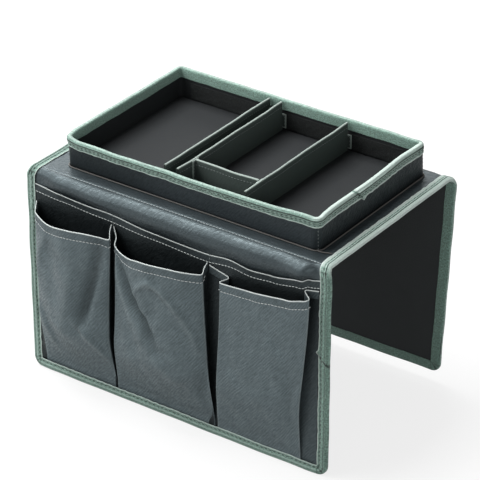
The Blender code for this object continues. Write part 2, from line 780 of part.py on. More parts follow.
def build_tray_boards():
    """The card stiffeners of the tray's floor and of its four walls, which stop at the round corners."""
    (x0, y0), (x1, y1) = tray_rectangle(BOARD_OUT)
    t = TRAY_BOARD_THICKNESS
    corner = TRAY_CORNER_RADIUS - BOARD_OUT
    walls = {
        "tray_front_board": ((x0 + corner, y0), (x1 - corner, y0 + t)),
        "tray_rear_board": ((x0 + corner, y1 - t), (x1 - corner, y1)),
        "tray_left_board": ((x0, y0 + corner), (x0 + t, y1 - corner)),
        "tray_right_board": ((x1 - t, y0 + corner), (x1, y1 - corner)),
    }
    for name, (low, high) in walls.items():
        add_part(name, box_mesh(name, (*low, TRAY_BASE_Z), (*high, WALL_TOP_Z)), CARD)
    floor = plate_mesh("tray_floor_board", [tray_outline(FLOOR_EDGE)], TRAY_BASE_Z, FLOOR_BOARD_TOP_Z)
    add_part("tray_floor_board", floor, CARD)


def build_tray_cloth():
    """The tray's outer skin, its wall lining, its floor lining and the welt round its foot."""
    skin = plate_mesh(
        "tray_skin",
        [tray_outline(0.0), tray_outline(TRAY_SKIN_THICKNESS)],
        TRAY_BASE_Z,
        WALL_TOP_Z,
    )
    add_part("tray_skin", skin, TRAY_LEATHERETTE)
    lining = plate_mesh(
        "tray_lining",
        [tray_outline(LINING_OUT), tray_outline(LINING_IN)],
        TRAY_BASE_Z,
        WALL_TOP_Z,
    )
    add_part("tray_lining", lining, LINING_CLOTH)
    floor = plate_mesh(
        "tray_floor_lining",
        [tray_outline(FLOOR_EDGE)],
        FLOOR_BOARD_TOP_Z + LAYER_GAP,
        FLOOR_TOP_Z,
    )
    add_part("tray_floor_lining", floor, LINING_CLOTH)
    outer = WELT_HEIGHT - WELT_WIDTH - LAYER_GAP
    round_side = arc((outer, TRAY_BASE_Z), WELT_HEIGHT, 0.25 * math.tau, 0.5 * math.tau, WELT_STEPS)
    foot, top = (-LAYER_GAP, TRAY_BASE_Z), (-LAYER_GAP, TRAY_BASE_Z + WELT_HEIGHT)
    welt = ring_mesh("tray_base_welt", [foot, top] + round_side)
    add_part("tray_base_welt", welt, TRAY_LEATHERETTE)


def build_rim_binding():
    """The tape folded over the tray's rim, down its outer skin and its lining."""
    low, top = RIM_TOP_Z - RIM_TAPE_HEIGHT, RIM_TOP_Z
    outer, inner = -TAPE_STAND_OFF, LINING_IN + TAPE_STAND_OFF
    r, t = TAPE_ROUNDING, TAPE_THICKNESS
    section = [(outer, low)]
    section += arc((outer + r, top - r), r, 0.5 * math.tau, 0.25 * math.tau, TAPE_STEPS)
    section += arc((inner - r, top - r), r, 0.25 * math.tau, 0.0, TAPE_STEPS)
    section += [(inner, low), (inner - t, low), (inner - t, top - t), (outer + t, top - t), (outer + t, low)]
    add_part("tray_rim_binding", ring_mesh("tray_rim_binding", section), TAPE_CLOTH)


def build_loop_strips():
    """The loop strips on the front and rear walls, which the dividers' hook tabs press on."""
    low, high = tray_rectangle(FLOOR_EDGE)
    reach = LOOP_STRIP_THICKNESS
    top = LOOP_LOW_Z + LOOP_STRIP_HEIGHT
    inset = 2 * TRAY_CORNER_RADIUS
    x0, x1 = low[0] + inset, high[0] - inset
    front = box_mesh("loop_strip_front", (x0, low[1], LOOP_LOW_Z), (x1, low[1] + reach, top))
    rear = box_mesh("loop_strip_rear", (x0, high[1] - reach, LOOP_LOW_Z), (x1, high[1], top))
    add_part("loop_strip_front", front, HOOK_AND_LOOP)
    add_part("loop_strip_rear", rear, HOOK_AND_LOOP)


DIVIDER_HALF = DIVIDER_CORE_THICKNESS / 2 + LAYER_GAP + DIVIDER_SLEEVE_THICKNESS
DIVIDER_LOW_Z = FLOOR_TOP_Z + LAYER_GAP
DIVIDER_TOP_Z = RIM_TOP_Z - DIVIDER_BELOW_RIM
TAB_LOW_Z = LOOP_LOW_Z + (LOOP_STRIP_HEIGHT - HOOK_TAB_HEIGHT) / 2


def sleeve_outline():
    """A divider's folded sleeve in section: an arch over the core, open below."""
    inner = DIVIDER_HALF - DIVIDER_SLEEVE_THICKNESS
    spring = DIVIDER_TOP_Z - DIVIDER_HALF
    outside = arc((0.0, spring), DIVIDER_HALF, 0.0, math.pi, SLEEVE_STEPS)
    inside = arc((0.0, spring), inner, math.pi, 0.0, SLEEVE_STEPS)
    feet = ((-DIVIDER_HALF, DIVIDER_LOW_Z), (-inner, DIVIDER_LOW_Z))
    other = ((inner, DIVIDER_LOW_Z), (DIVIDER_HALF, DIVIDER_LOW_Z))
    return outside + list(feet) + inside + list(other)


def panel_pieces(name, low, high, place, turned, empty):
    """A divider's sleeve and core between two ends, along Y or, turned, along X."""
    turn = Matrix.Translation(place)
    if turned:
        turn = turn @ Matrix.Rotation(math.tau / 4, 4, 'Z')
        low, high = -high, -low
    upright = turn @ Matrix.Rotation(math.tau / 4, 4, 'X')
    sleeve = plate_mesh(name + "_sleeve", [sleeve_outline()], -high, -low, upright)
    add_part(name + "_sleeve", sleeve, DIVIDER_CLOTH, empty)
    half = DIVIDER_CORE_THICKNESS / 2
    core = box_mesh(name + "_core", (-half, low, DIVIDER_LOW_Z), (half, high, DIVIDER_TOP_Z - DIVIDER_HALF))
    core.transform(turn)
    add_part(name + "_core", core, CARD, empty)


def build_long_divider(name, x):
    """A divider from the front wall to the rear one, with a hook tab on each end."""
    low, high = tray_rectangle(FLOOR_EDGE)
    step = LOOP_STRIP_THICKNESS + LAYER_GAP
    tab_front = low[1] + step
    tab_rear = high[1] - step
    empty = add_empty(name + "_lift", (x, (tab_front + tab_rear) / 2, DIVIDER_LOW_Z))
    clear = HOOK_TAB_THICKNESS + LAYER_GAP
    panel_pieces(name, tab_front + clear, tab_rear - clear, (x, 0.0, 0.0), False, empty)
    half = HOOK_TAB_WIDTH / 2
    top = TAB_LOW_Z + HOOK_TAB_HEIGHT
    front = (x - half, tab_front, TAB_LOW_Z), (x + half, tab_front + HOOK_TAB_THICKNESS, top)
    rear = (x - half, tab_rear - HOOK_TAB_THICKNESS, TAB_LOW_Z), (x + half, tab_rear, top)
    for end, corners in (("front", front), ("rear", rear)):
        tab = name + "_hook_" + end
        add_part(tab, box_mesh(tab, *corners), HOOK_AND_LOOP, empty)


def build_cross_divider():
    """The short divider between the middle and right ones, with a folded tab on each end."""
    name = "cross_divider"
    tab_left = DIVIDER_MIDDLE_X + DIVIDER_HALF + LAYER_GAP
    tab_right = DIVIDER_RIGHT_X - DIVIDER_HALF - LAYER_GAP
    middle = (tab_left + tab_right) / 2
    y = CROSS_DIVIDER_Y
    empty = add_empty(name + "_lift", (middle, y, DIVIDER_LOW_Z))
    clear = HOOK_TAB_THICKNESS + LAYER_GAP
    panel_pieces(name, tab_left + clear, tab_right - clear, (0.0, y, 0.0), True, empty)
    half = HOOK_TAB_WIDTH / 2
    top = DIVIDER_TOP_Z - DIVIDER_BELOW_RIM / 2
    left = (tab_left, y - half, TAB_LOW_Z), (tab_left + HOOK_TAB_THICKNESS, y + half, top)
    right = (tab_right - HOOK_TAB_THICKNESS, y - half, TAB_LOW_Z), (tab_right, y + half, top)
    for end, corners in (("left", left), ("right", right)):
        tab = name + "_tab_" + end
        add_part(tab, box_mesh(tab, *corners), HOOK_AND_LOOP, empty)


def build_front_flap():
    """The front flap on its fold, with its slip pocket and its three pleated pockets."""
    flap = FlapFrame("front_flap", -1, FRONT_DROP, 0.0, SLIP_THICKNESS + LAYER_GAP)
    build_fold("front", flap.side, flap.angle)
    build_flap_layers(flap)
    build_flap_binding(flap)
    build_slip_pocket(flap)
    build_pocket("pocket_left", LEFT_POCKET, flap)
    build_pocket("pocket_middle", MIDDLE_POCKET, flap)
    build_pocket("pocket_right", RIGHT_POCKET, flap)


def build_rear_flap():
    """The plain rear flap on its fold, which leans in under the saddle."""
    flap = FlapFrame("rear_flap", 1, REAR_DROP, REAR_LEAN, 0.0)
    build_fold("rear", flap.side, flap.angle)
    build_flap_layers(flap)
    build_flap_binding(flap)
    flap.empty.rotation_euler.x = -REAR_LEAN


def main():
    """Builds the whole organizer."""
    build_saddle()
    build_front_flap()
    build_rear_flap()
    build_tray_boards()
    build_tray_cloth()
    build_rim_binding()
    build_loop_strips()
    build_long_divider("divider_left", DIVIDER_LEFT_X)
    build_long_divider("divider_middle", DIVIDER_MIDDLE_X)
    build_long_divider("divider_right", DIVIDER_RIGHT_X)
    build_cross_divider()


main()
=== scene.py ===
"""Dresses the sofa armrest organizer: cloth, binding tape, thread, card and a plain studio.

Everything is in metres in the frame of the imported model: +X along the sofa arm, +Z up, and the
front flap with its pockets on the -Y side. The saddle's top face lies at PANEL.top_z.
"""
import logging
import math
from dataclasses import dataclass
from enum import Enum

import bpy
import numpy as np
from mathutils import Matrix, Vector


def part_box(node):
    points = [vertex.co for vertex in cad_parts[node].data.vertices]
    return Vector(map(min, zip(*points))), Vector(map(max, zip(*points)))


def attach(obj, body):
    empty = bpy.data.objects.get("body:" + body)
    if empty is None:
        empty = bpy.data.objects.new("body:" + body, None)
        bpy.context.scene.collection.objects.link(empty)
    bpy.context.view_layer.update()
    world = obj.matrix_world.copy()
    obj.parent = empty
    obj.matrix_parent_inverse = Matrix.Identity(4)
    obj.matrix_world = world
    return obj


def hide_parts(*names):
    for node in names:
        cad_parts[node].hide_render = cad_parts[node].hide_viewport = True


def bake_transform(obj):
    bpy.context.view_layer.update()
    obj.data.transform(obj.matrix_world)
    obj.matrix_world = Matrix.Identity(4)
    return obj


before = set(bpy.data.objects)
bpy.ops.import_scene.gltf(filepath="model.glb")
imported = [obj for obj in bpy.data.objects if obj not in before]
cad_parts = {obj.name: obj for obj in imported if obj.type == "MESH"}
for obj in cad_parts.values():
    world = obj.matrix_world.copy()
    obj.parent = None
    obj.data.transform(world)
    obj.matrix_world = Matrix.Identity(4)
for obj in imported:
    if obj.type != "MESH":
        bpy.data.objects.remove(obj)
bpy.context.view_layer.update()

logging.basicConfig(level=logging.INFO, format="%(message)s")
LOG = logging.getLogger("organizer")
Array = np.ndarray
Object = bpy.types.Object
Material = bpy.types.Material
Socket = bpy.types.NodeSocket
Feed = Socket | float | tuple
Pair = tuple[float, float]
Table = tuple[Pair, ...]
Colour = tuple[float, float, float, float]
WHITE = (1.0, 1.0, 1.0, 1.0)
REACH_OF_MARK = 0.020
ROOT, FRONT, REAR = "saddle_and_tray", "front_flap", "rear_flap"


# Small helpers of form
def ease(share: Array) -> Array:
    """A smooth step from 0 to 1."""
    share = np.clip(share, 0.0, 1.0)
    return share * share * (3.0 - 2.0 * share)


def step(share: float) -> float:
    """The same smooth step for one plain number."""
    return float(ease(np.array(share)))


def table_value(table: Table, place: Array) -> Array:
    """Values of a table of (place, value), eased from each entry to the next.

    Args:
        table: entries in rising order of place.
        place: where the values are wanted.

    Returns:
        One value for each place.
    """
    place = np.asarray(place, float)
    value = np.full(place.shape, table[0][1])
    for (near, low), (far, high) in zip(table, table[1:]):
        risen = low + (high - low) * ease((place - near) / (far - near))
        value = np.where(place > near, risen, value)
    return value


def ripple(u: Array, v: Array | float, size: float, seed: int) -> Array:
    """Smooth waves in all directions, as hand-sewn cloth has them.

    Args:
        u: distance across, in metres.
        v: distance along, in metres.
        size: the usual wave length, in metres.
        seed: picks the waves' directions and phases.

    Returns:
        Heights of about -1 to 1.
    """
    chooser = np.random.default_rng(seed)
    total = np.zeros(np.broadcast(u, v).shape)
    for _ in range(7):
        angle, phase = chooser.uniform(0.0, math.tau, 2)
        number = math.tau / (size * chooser.uniform(0.7, 1.5))
        total += np.sin(number * (u * math.cos(angle) + v * math.sin(angle)) + phase)
    return total / 3.2


def bell(offset: Array, width: float) -> Array:
    """A rounded bump of height 1 at offset 0."""
    return np.exp(-((offset / width) ** 2))


def grid_normals(points: Array, wrap: bool = False) -> Array:
    """Unit normals of a grid of points.

    Args:
        points: rows by columns by 3.
        wrap: whether the last column meets the first.

    Returns:
        An array of the same shape, each the cross product of the column and row directions.
    """
    if wrap:
        across = np.roll(points, -1, 1) - np.roll(points, 1, 1)
    else:
        across = np.gradient(points, axis=1)
    down = np.gradient(points, axis=0)
    normal = np.cross(across, down)
    return normal / np.maximum(np.linalg.norm(normal, axis=2, keepdims=True), 1e-12)


def add_mesh(name: str, points: Array, faces: Array | list) -> Object:
    """Links a mesh object made of points and faces, and shades it smooth."""
    mesh = bpy.data.meshes.new(name)
    mesh.from_pydata(points.tolist(), [], faces if isinstance(faces, list) else faces.tolist())
    mesh.update()
    thing = bpy.data.objects.new(name, mesh)
    bpy.context.scene.collection.objects.link(thing)
    mesh.shade_smooth()
    mesh.set_sharp_from_angle(angle=math.radians(50))
    return thing


def set_marks(thing: Object, uv: Array, **marks: Array) -> None:
    """Gives a mesh its pattern coordinates in metres and its marks of edge wear and of painted light
    and shade, one value a vertex.
    """
    mesh = thing.data
    corners = np.empty(len(mesh.loops), np.int32)
    mesh.loops.foreach_get("vertex_index", corners)
    layer = mesh.uv_layers.new(name="UVMap")
    layer.uv.foreach_set("vector", uv.reshape(-1, 2)[corners].astype(np.float32).ravel())
    for name, values in marks.items():
        attribute = mesh.attributes.new(name, 'FLOAT', 'POINT')
        attribute.data.foreach_set("value", np.asarray(values, np.float32).ravel())


def closed_sheet(
    name: str,
    face: Array,
    back: Array,
    uv: Array,
    edge: Array | None = None,
    shade: Array | None = None,
    wrap: bool = False,
) -> Object:
    """A thin sheet of cloth, closed round its edges.

    Args:
        name: the piece's name.
        face: the shown side, rows by columns by 3.
        back: the hidden side, of the same shape.
        uv: pattern coordinates in metres, rows by columns by 2.
        edge: distance to the nearest free edge, in metres, or None for no bright edge.
        shade: mostly painted shade below 0 and painted light above 0, or None.
        wrap: whether the last column meets the first.

    Returns:
        The linked object.
    """
    rows, columns = face.shape[:2]
    index = np.arange(rows * columns).reshape(rows, columns)
    if wrap:
        index = np.concatenate([index, index[:, :1]], 1)
    a, b, c, d = index[:-1, :-1], index[:-1, 1:], index[1:, 1:], index[1:, :-1]
    top = np.stack([a, b, c, d], 2).reshape(-1, 4)
    shift = rows * columns
    under = top[:, ::-1] + shift
    first, last = index[0], index[-1]
    walls = [np.stack([first[1:], first[:-1], first[:-1] + shift, first[1:] + shift], 1)]
    walls.append(np.stack([last[:-1], last[1:], last[1:] + shift, last[:-1] + shift], 1))
    if not wrap:
        left, right = index[:, 0], index[:, -1]
        walls.append(np.stack([left[:-1], left[1:], left[1:] + shift, left[:-1] + shift], 1))
        walls.append(np.stack([right[1:], right[:-1], right[:-1] + shift, right[1:] + shift], 1))
    faces = np.concatenate([top, under] + walls)
    facing = np.einsum("ijk,ijk->ij", grid_normals(face, wrap), face - back).mean()
    if facing < 0:
        faces = faces[:, ::-1]
    thing = add_mesh(name, np.concatenate([face.reshape(-1, 3), back.reshape(-1, 3)]), faces)
    marks = {"edge_near": np.zeros(face.shape[:2]), "shade": np.zeros(face.shape[:2])}
    if edge is not None:
        marks["edge_near"] = REACH_OF_MARK - np.clip(edge, 0.0, REACH_OF_MARK)
    if shade is not None:
        marks["shade"] = shade
    both = {key: np.concatenate([value.ravel(), value.ravel()]) for key, value in marks.items()}
    set_marks(thing, np.concatenate([uv.reshape(-1, 2), uv.reshape(-1, 2)]), **both)
    return thing


def sheet_over(
    name: str, face: Array, thickness: float, uv: Array, inward: int = -1, **marks: Array
) -> Object:
    """A closed sheet of even thickness over a grid; inward picks the side that it grows to."""
    back = face + inward * thickness * grid_normals(face)
    return closed_sheet(name, face, back, uv, **marks)


def dress(thing: Object, finish: Material) -> Object:
    """Gives a piece its material and logs it."""
    thing.data.materials.clear()
    thing.data.materials.append(finish)
    LOG.info("made %s: %d faces", thing.name, len(thing.data.polygons))
    return thing


def settle(thing: Object, finish: Material, node: str, body: str) -> None:
    """Dresses a piece that stands for a node and rides on a body."""
    dress(thing, finish)
    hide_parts(node)
    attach(thing, body)


# Finishes
def linear(colour: int) -> Colour:
    """An sRGB colour written as 0xRRGGBB, as linear values with full opacity."""
    channels = [((colour >> shift) & 255) / 255 for shift in (16, 8, 0)]
    values = [c / 12.92 if c <= 0.04045 else ((c + 0.055) / 1.055) ** 2.4 for c in channels]
    return (values[0], values[1], values[2], 1.0)


def noise_scale(size: float) -> float:
    """Noise scale whose blots are about size metres wide."""
    return 1.0 / size


def wave_scale(pitch: float) -> float:
    """Wave scale whose bands repeat every pitch metres: the bands run through 20 radians a unit."""
    return math.tau / (20.0 * pitch)


class Nodes:
    """A node tree, with one small function that adds a node."""

    def __init__(self, tree: bpy.types.NodeTree, prefix: str) -> None:
        """Takes the tree and what its nodes' types start with."""
        self.tree = tree
        self.prefix = prefix

    def add(self, kind: str, inputs: dict | None = None, **settings: object) -> bpy.types.Node:
        """Adds a node.

        Args:
            kind: the node's type, without the tree's prefix.
            inputs: values or other nodes' sockets, by the input's name or number.
            settings: the node's own properties.

        Returns:
            The new node.
        """
        node = self.tree.nodes.new(self.prefix + kind)
        for key, value in settings.items():
            setattr(node, key, value)
        for key, value in (inputs or {}).items():
            self.feed(node.inputs[key], value)
        return node

    def feed(self, socket: Socket, value: Feed) -> None:
        """Links a socket to another, or sets its value."""
        if isinstance(value, Socket):
            self.tree.links.new(value, socket)
        else:
            socket.default_value = value


class Recipe(Nodes):
    """A material's node tree."""

    def __init__(self, name: str) -> None:
        """Starts a material that holds only its shader and its output."""
        self.material = bpy.data.materials.new(name)
        self.material.use_nodes = True
        super().__init__(self.material.node_tree, "ShaderNode")
        self.shader = self.tree.nodes["Principled BSDF"]

    def pattern_place(self, turn: float = 0.0, stretch: Pair = (1.0, 1.0)) -> Socket:
        """The piece's own pattern coordinates in metres, turned and stretched."""
        place = self.add("UVMap", uv_map="UVMap").outputs["UV"]
        inputs = {"Vector": place, "Rotation": (0.0, 0.0, -turn)}
        inputs["Scale"] = (1 / stretch[0], 1 / stretch[1], 1.0)
        return self.add("Mapping", inputs, vector_type='TEXTURE').outputs["Vector"]

    def noise(self, place: Socket, size: float, detail: float = 2.0, rough: float = 0.5) -> Socket:
        """Noise whose blots are about size metres wide."""
        inputs = {"Vector": place, "Scale": noise_scale(size), "Detail": detail, "Roughness": rough}
        return self.add("TexNoise", inputs).outputs["Fac"]

    def bands(self, place: Socket, pitch: float, wobble: float, direction: str = 'X') -> Socket:
        """Even bands, pitch metres apart, bent by the wobble."""
        inputs = {"Vector": place, "Scale": wave_scale(pitch), "Distortion": wobble}
        inputs["Detail Scale"] = 0.6
        return self.add("TexWave", inputs, bands_direction=direction).outputs["Fac"]

    def math(self, operation: str, a: Feed, b: Feed, clamp: bool = False) -> Socket:
        """One sum on two values."""
        return self.add("Math", {0: a, 1: b}, operation=operation, use_clamp=clamp).outputs[0]

    def between(
        self, value: Socket, low: float, high: float, to_low: float = 0.0, to_high: float = 1.0
    ) -> Socket:
        """Maps a value from one range to another and clamps it."""
        names = ("From Min", "From Max", "To Min", "To Max")
        inputs = {"Value": value} | dict(zip(names, (low, high, to_low, to_high)))
        return self.add("MapRange", inputs).outputs["Result"]

    def mix(self, factor: Feed, a: Feed, b: Feed) -> Socket:
        """Mixes two colours."""
        node = self.add("Mix", data_type='RGBA')
        for key, value in ((0, factor), (6, a), (7, b)):
            self.feed(node.inputs[key], value)
        return node.outputs[2]

    def mark(self, name: str) -> Socket:
        """One of the marks that the pieces carry, vertex by vertex."""
        return self.add("Attribute", attribute_name=name).outputs["Fac"]

    def worn(self, colour: Feed, bright: int, width: float, amount: float) -> Socket:
        """Lightens the line along a piece's free edges."""
        outer, inner = REACH_OF_MARK - 1.5 * width, REACH_OF_MARK - 0.6 * width
        line = self.between(self.mark("edge_near"), outer, inner, 0.0, amount)
        return self.mix(line, colour, linear(bright))

    def shaded(self, colour: Feed, dark: int, light: int) -> Socket:
        """Mixes painted shade or painted light into the colour by the piece's shade mark."""
        shade = self.mark("shade")
        darker = self.mix(self.math('MULTIPLY', shade, -1.0, clamp=True), colour, linear(dark))
        return self.mix(self.math('MULTIPLY', shade, 1.0, clamp=True), darker, linear(light))

    def bump(self, height: Socket, depth: float, strength: float) -> None:
        """Raises the surface by up to depth metres."""
        inputs = {"Height": height, "Distance": depth, "Strength": strength}
        self.feed(self.shader.inputs["Normal"], self.add("Bump", inputs).outputs["Normal"])

    def finish(self, colour: Feed, roughness: Feed, specular: float) -> Material:
        """Feeds the shader and returns the finished material."""
        self.feed(self.shader.inputs["Base Color"], colour)
        self.feed(self.shader.inputs["Roughness"], roughness)
        self.shader.inputs["Specular IOR Level"].default_value = specular
        return self.material


@dataclass(frozen=True)
class Finish:
    """What every finish has: its material's name and its colour, written as 0xRRGGBB."""

    name: str
    colour: int

    def tone(self, factor: float) -> Colour:
        """The colour made lighter or darker in linear light."""
        r, g, b, a = linear(self.colour)
        return (r * factor, g * factor, b * factor, a)


@dataclass(frozen=True)
class Leatherette(Finish):
    """Coated cloth, commonly called saffiano: a hot roller presses fine crossing lines in it."""

    worn: int
    roughness: float
    hatch_amount: float = 0.85
    specular: float = 0.5
    hatch_pitch: float = 0.0030
    worn_width: float = 0.0009

    def material(self) -> Material:
        """Builds the material."""
        r = Recipe(self.name)
        flat = r.pattern_place()
        rising = r.bands(r.pattern_place(math.radians(40)), self.hatch_pitch, 2.5)
        falling = r.bands(r.pattern_place(math.radians(-46)), self.hatch_pitch * 0.86, 2.5)
        streaks = r.noise(r.pattern_place(math.radians(40), (1.0, 0.2)), 0.0019, 2.0, 0.75)
        patches = r.between(r.noise(flat, 0.03), 0.35, 0.65, 0.55, 0.9)
        crossed = r.between(r.noise(flat, 0.02, 1.0), 0.40, 0.66, 0.3, 0.9)
        hatch = r.math('MAXIMUM', rising, r.math('MULTIPLY', falling, crossed))
        hatch = r.math('MULTIPLY', hatch, patches)
        hatch = r.math('MULTIPLY', hatch, r.between(streaks, 0.3, 0.7, 0.3, 1.0))
        pores = r.noise(flat, 0.0014, 3.0, 0.7)
        clouds = r.noise(flat, 0.05, 3.0, 0.6)
        base = r.mix(r.between(clouds, 0.35, 0.65), self.tone(0.9), self.tone(1.06))
        base = r.mix(r.between(streaks, 0.60, 0.36, 0.0, 0.6), base, self.tone(0.5))
        base = r.mix(r.math('MULTIPLY', hatch, self.hatch_amount), base, self.tone(2.0))
        base = r.mix(r.between(pores, 0.4, 0.75, 0.0, 0.45), base, self.tone(0.5))
        # The shade mark mixes in painted shade (0x060708) and painted light (0x9AA3A3).
        base = r.worn(r.shaded(base, 0x060708, 0x9AA3A3), self.worn, self.worn_width, 0.9)
        grain = r.math('ADD', r.math('MULTIPLY', streaks, 1.4), r.math('MULTIPLY', pores, 0.5))
        r.bump(grain, 0.00045, 0.8)
        smooth, matt = self.roughness - 0.06, self.roughness + 0.04
        rough = r.between(r.noise(flat, 0.02, 2.0), 0.3, 0.7, smooth, matt)
        rough = r.math('ADD', rough, r.between(streaks, 0.38, 0.62, 0.16, -0.08))
        r.shader.inputs["Specular Tint"].default_value = linear(0xDCF2F8)
        return r.finish(base, rough, self.specular)


@dataclass(frozen=True)
class WovenTape(Finish):
    """Woven polyester binding, commonly called grosgrain: weft ribs cross it from edge to edge."""

    worn: int
    rib_pitch: float = 0.0011

    def material(self) -> Material:
        """Builds the material."""
        r = Recipe(self.name)
        flat = r.pattern_place()
        ribs = r.bands(flat, self.rib_pitch, 1.5)
        warp = r.bands(flat, self.rib_pitch * 0.8, 1.5, 'Y')
        weave = r.math('MULTIPLY', ribs, warp)
        mottle = r.noise(r.pattern_place(0.0, (1.0, 1.4)), 0.0021, 3.0, 0.8)
        clouds = r.noise(flat, 0.014, 2.0)
        base = r.mix(r.between(mottle, 0.38, 0.64), self.tone(0.36), self.tone(1.6))
        base = r.mix(r.between(clouds, 0.35, 0.65, 0.0, 0.45), base, self.tone(0.7))
        base = r.mix(r.math('MULTIPLY', weave, 0.30), base, self.tone(1.9))
        # The shade mark mixes in painted shade (0x101814) and painted light (0xD3E0DA).
        base = r.worn(r.shaded(base, 0x101814, 0xD3E0DA), self.worn, 0.0010, 0.5)
        r.bump(r.math('ADD', weave, mottle), 0.0004, 0.8)
        r.shader.inputs["Sheen Weight"].default_value = 0.25
        return r.finish(base, 0.78, 0.3)


@dataclass(frozen=True)
class FeltCloth(Finish):
    """Non-woven lining, needled from loose fibres and pressed flat."""

    lighter: float
    fibre: float = 0.0009

    def material(self) -> Material:
        """Builds the material."""
        r = Recipe(self.name)
        flat = r.pattern_place()
        fuzz = r.noise(flat, self.fibre, 4.0, 0.8)
        clouds = r.noise(flat, 0.03, 2.0)
        dots = r.add("TexVoronoi", {"Vector": flat, "Scale": 1.0 / 0.0024}).outputs["Distance"]
        lighter = self.tone(self.lighter)
        base = r.mix(r.between(fuzz, 0.35, 0.7), self.tone(0.75), lighter)
        base = r.mix(r.math('MULTIPLY', clouds, 0.4), base, self.tone(0.7))
        # The shade mark mixes in painted shade (0x050606) and painted light (0x5A6062).
        base = r.worn(r.shaded(base, 0x050606, 0x5A6062), 0x6A7070, 0.0007, 0.4)
        r.bump(r.math('ADD', fuzz, r.math('MULTIPLY', dots, 0.5)), 0.00025, 0.5)
        return r.finish(base, 0.82, 0.35)


@dataclass(frozen=True)
class RibbedCloth(Finish):
    """Divider cloth: a thin canvas with raised cords, woven a few threads to the cord."""

    worn: int
    cord_pitch: float = 0.0016

    def material(self) -> Material:
        """Builds the material."""
        r = Recipe(self.name)
        flat = r.pattern_place()
        cords = r.bands(flat, self.cord_pitch, 0.8, 'Y')
        fuzz = r.noise(flat, 0.0009, 3.0, 0.7)
        base = r.mix(cords, self.tone(0.75), self.tone(1.25))
        base = r.mix(r.between(fuzz, 0.35, 0.7, 0.0, 0.4), base, self.tone(1.6))
        # The shade mark, 0 on every divider piece, would mix in painted shade (0x10120F) and painted
        # light (0x9AA8A2).
        base = r.worn(r.shaded(base, 0x10120F, 0x9AA8A2), self.worn, 0.0012, 0.8)
        r.bump(r.math('ADD', cords, r.math('MULTIPLY', fuzz, 0.5)), 0.0002, 0.6)
        return r.finish(base, 0.8, 0.3)


@dataclass(frozen=True)
class GreyBoard(Finish):
    """Stiffener card: pressed grey-brown pulp with flecks of fibre."""

    def material(self) -> Material:
        """Builds the material on Object coordinates, because the boards carry no pattern map."""
        r = Recipe(self.name)
        place = r.add("TexCoord").outputs["Object"]
        flecks = r.noise(place, 0.0018, 4.0, 0.8)
        clouds = r.noise(place, 0.02, 2.0)
        base = r.mix(r.between(flecks, 0.4, 0.62), self.tone(0.72), self.tone(1.15))
        base = r.mix(r.math('MULTIPLY', clouds, 0.4), base, self.tone(0.85))
        r.bump(flecks, 0.00015, 0.5)
        return r.finish(base, 0.9, 0.25)


@dataclass(frozen=True)
class TwistedThread(Finish):
    """Bonded sewing thread of three twisted plies."""

    def material(self) -> Material:
        """Builds the material on Object coordinates."""
        r = Recipe(self.name)
        place = r.add("TexCoord").outputs["Object"]
        plies = r.bands(place, 0.0007, 1.0)
        base = r.mix(plies, self.tone(0.8), self.tone(1.15))
        r.bump(plies, 0.0001, 0.4)
        return r.finish(base, 0.6, 0.4)


@dataclass(frozen=True)
class HookTape(Finish):
    """Hook-and-loop strip: a knitted back with dense loops or cut hooks."""

    def material(self) -> Material:
        """Builds the material."""
        r = Recipe(self.name)
        flat = r.pattern_place()
        loops = r.add("TexVoronoi", {"Vector": flat, "Scale": 1.0 / 0.0011}).outputs["Distance"]
        fuzz = r.noise(flat, 0.0006, 3.0, 0.8)
        base = r.mix(loops, self.tone(0.6), self.tone(1.8))
        r.bump(r.math('ADD', loops, fuzz), 0.0004, 0.7)
        return r.finish(base, 0.95, 0.2)


class Finishes:
    """Every finish of the organizer, built once."""

    def __init__(self) -> None:
        """Builds the materials."""
        saddle = Leatherette("saddle leatherette", 0x272D30, 0xB5BBB9, 0.46, 0.55, 0.85)
        pocket = Leatherette("pocket leatherette", 0x525C5F, 0xD6DCDA, 0.46, specular=0.45)
        tray = Leatherette("tray leatherette", 0x23272A, 0x8D9496, 0.42, 0.75)
        self.saddle, self.pocket, self.tray = (kind.material() for kind in (saddle, pocket, tray))
        self.tape = WovenTape("binding tape", 0x79978B, 0xDFE9E4).material()
        self.lining = FeltCloth("lining felt", 0x1E2123, 1.4).material()
        self.flap_lining = FeltCloth("flap lining", 0x383B3C, 1.35, 0.0012).material()
        self.divider = RibbedCloth("divider cloth", 0x3F4845, 0xA4B0AA).material()
        self.card = GreyBoard("stiffener card", 0x8C7A62).material()
        self.core = GreyBoard("dark core card", 0x383B39).material()
        self.hook = HookTape("hook and loop", 0x232525).material()
        self.piping = TwistedThread("piping cord", 0x575553).material()


class Thread(Enum):
    """The threads, each with its colour and its stitch: pitch, length and width in metres."""

    HEM = ("hem_thread", 0xC2C8C7, 0.0043, 0.0041, 0.0010)
    CREASE = ("crease_thread", 0x969C9D, 0.0043, 0.0041, 0.0008)
    TAPE = ("tape_thread", 0x8FA59B, 0.0060, 0.0044, 0.00085)
    # HOLE is painted shade: dark beads put in the needle holes.
    HOLE = ("needle_hole", 0x16201C, 0.0060, 0.0012, 0.0009)
    DARK = ("dark_thread", 0x7C8383, 0.0040, 0.0030, 0.00065)

    @property
    def label(self) -> str:
        """The thread's name in the names of its pieces."""
        return self.value[0]


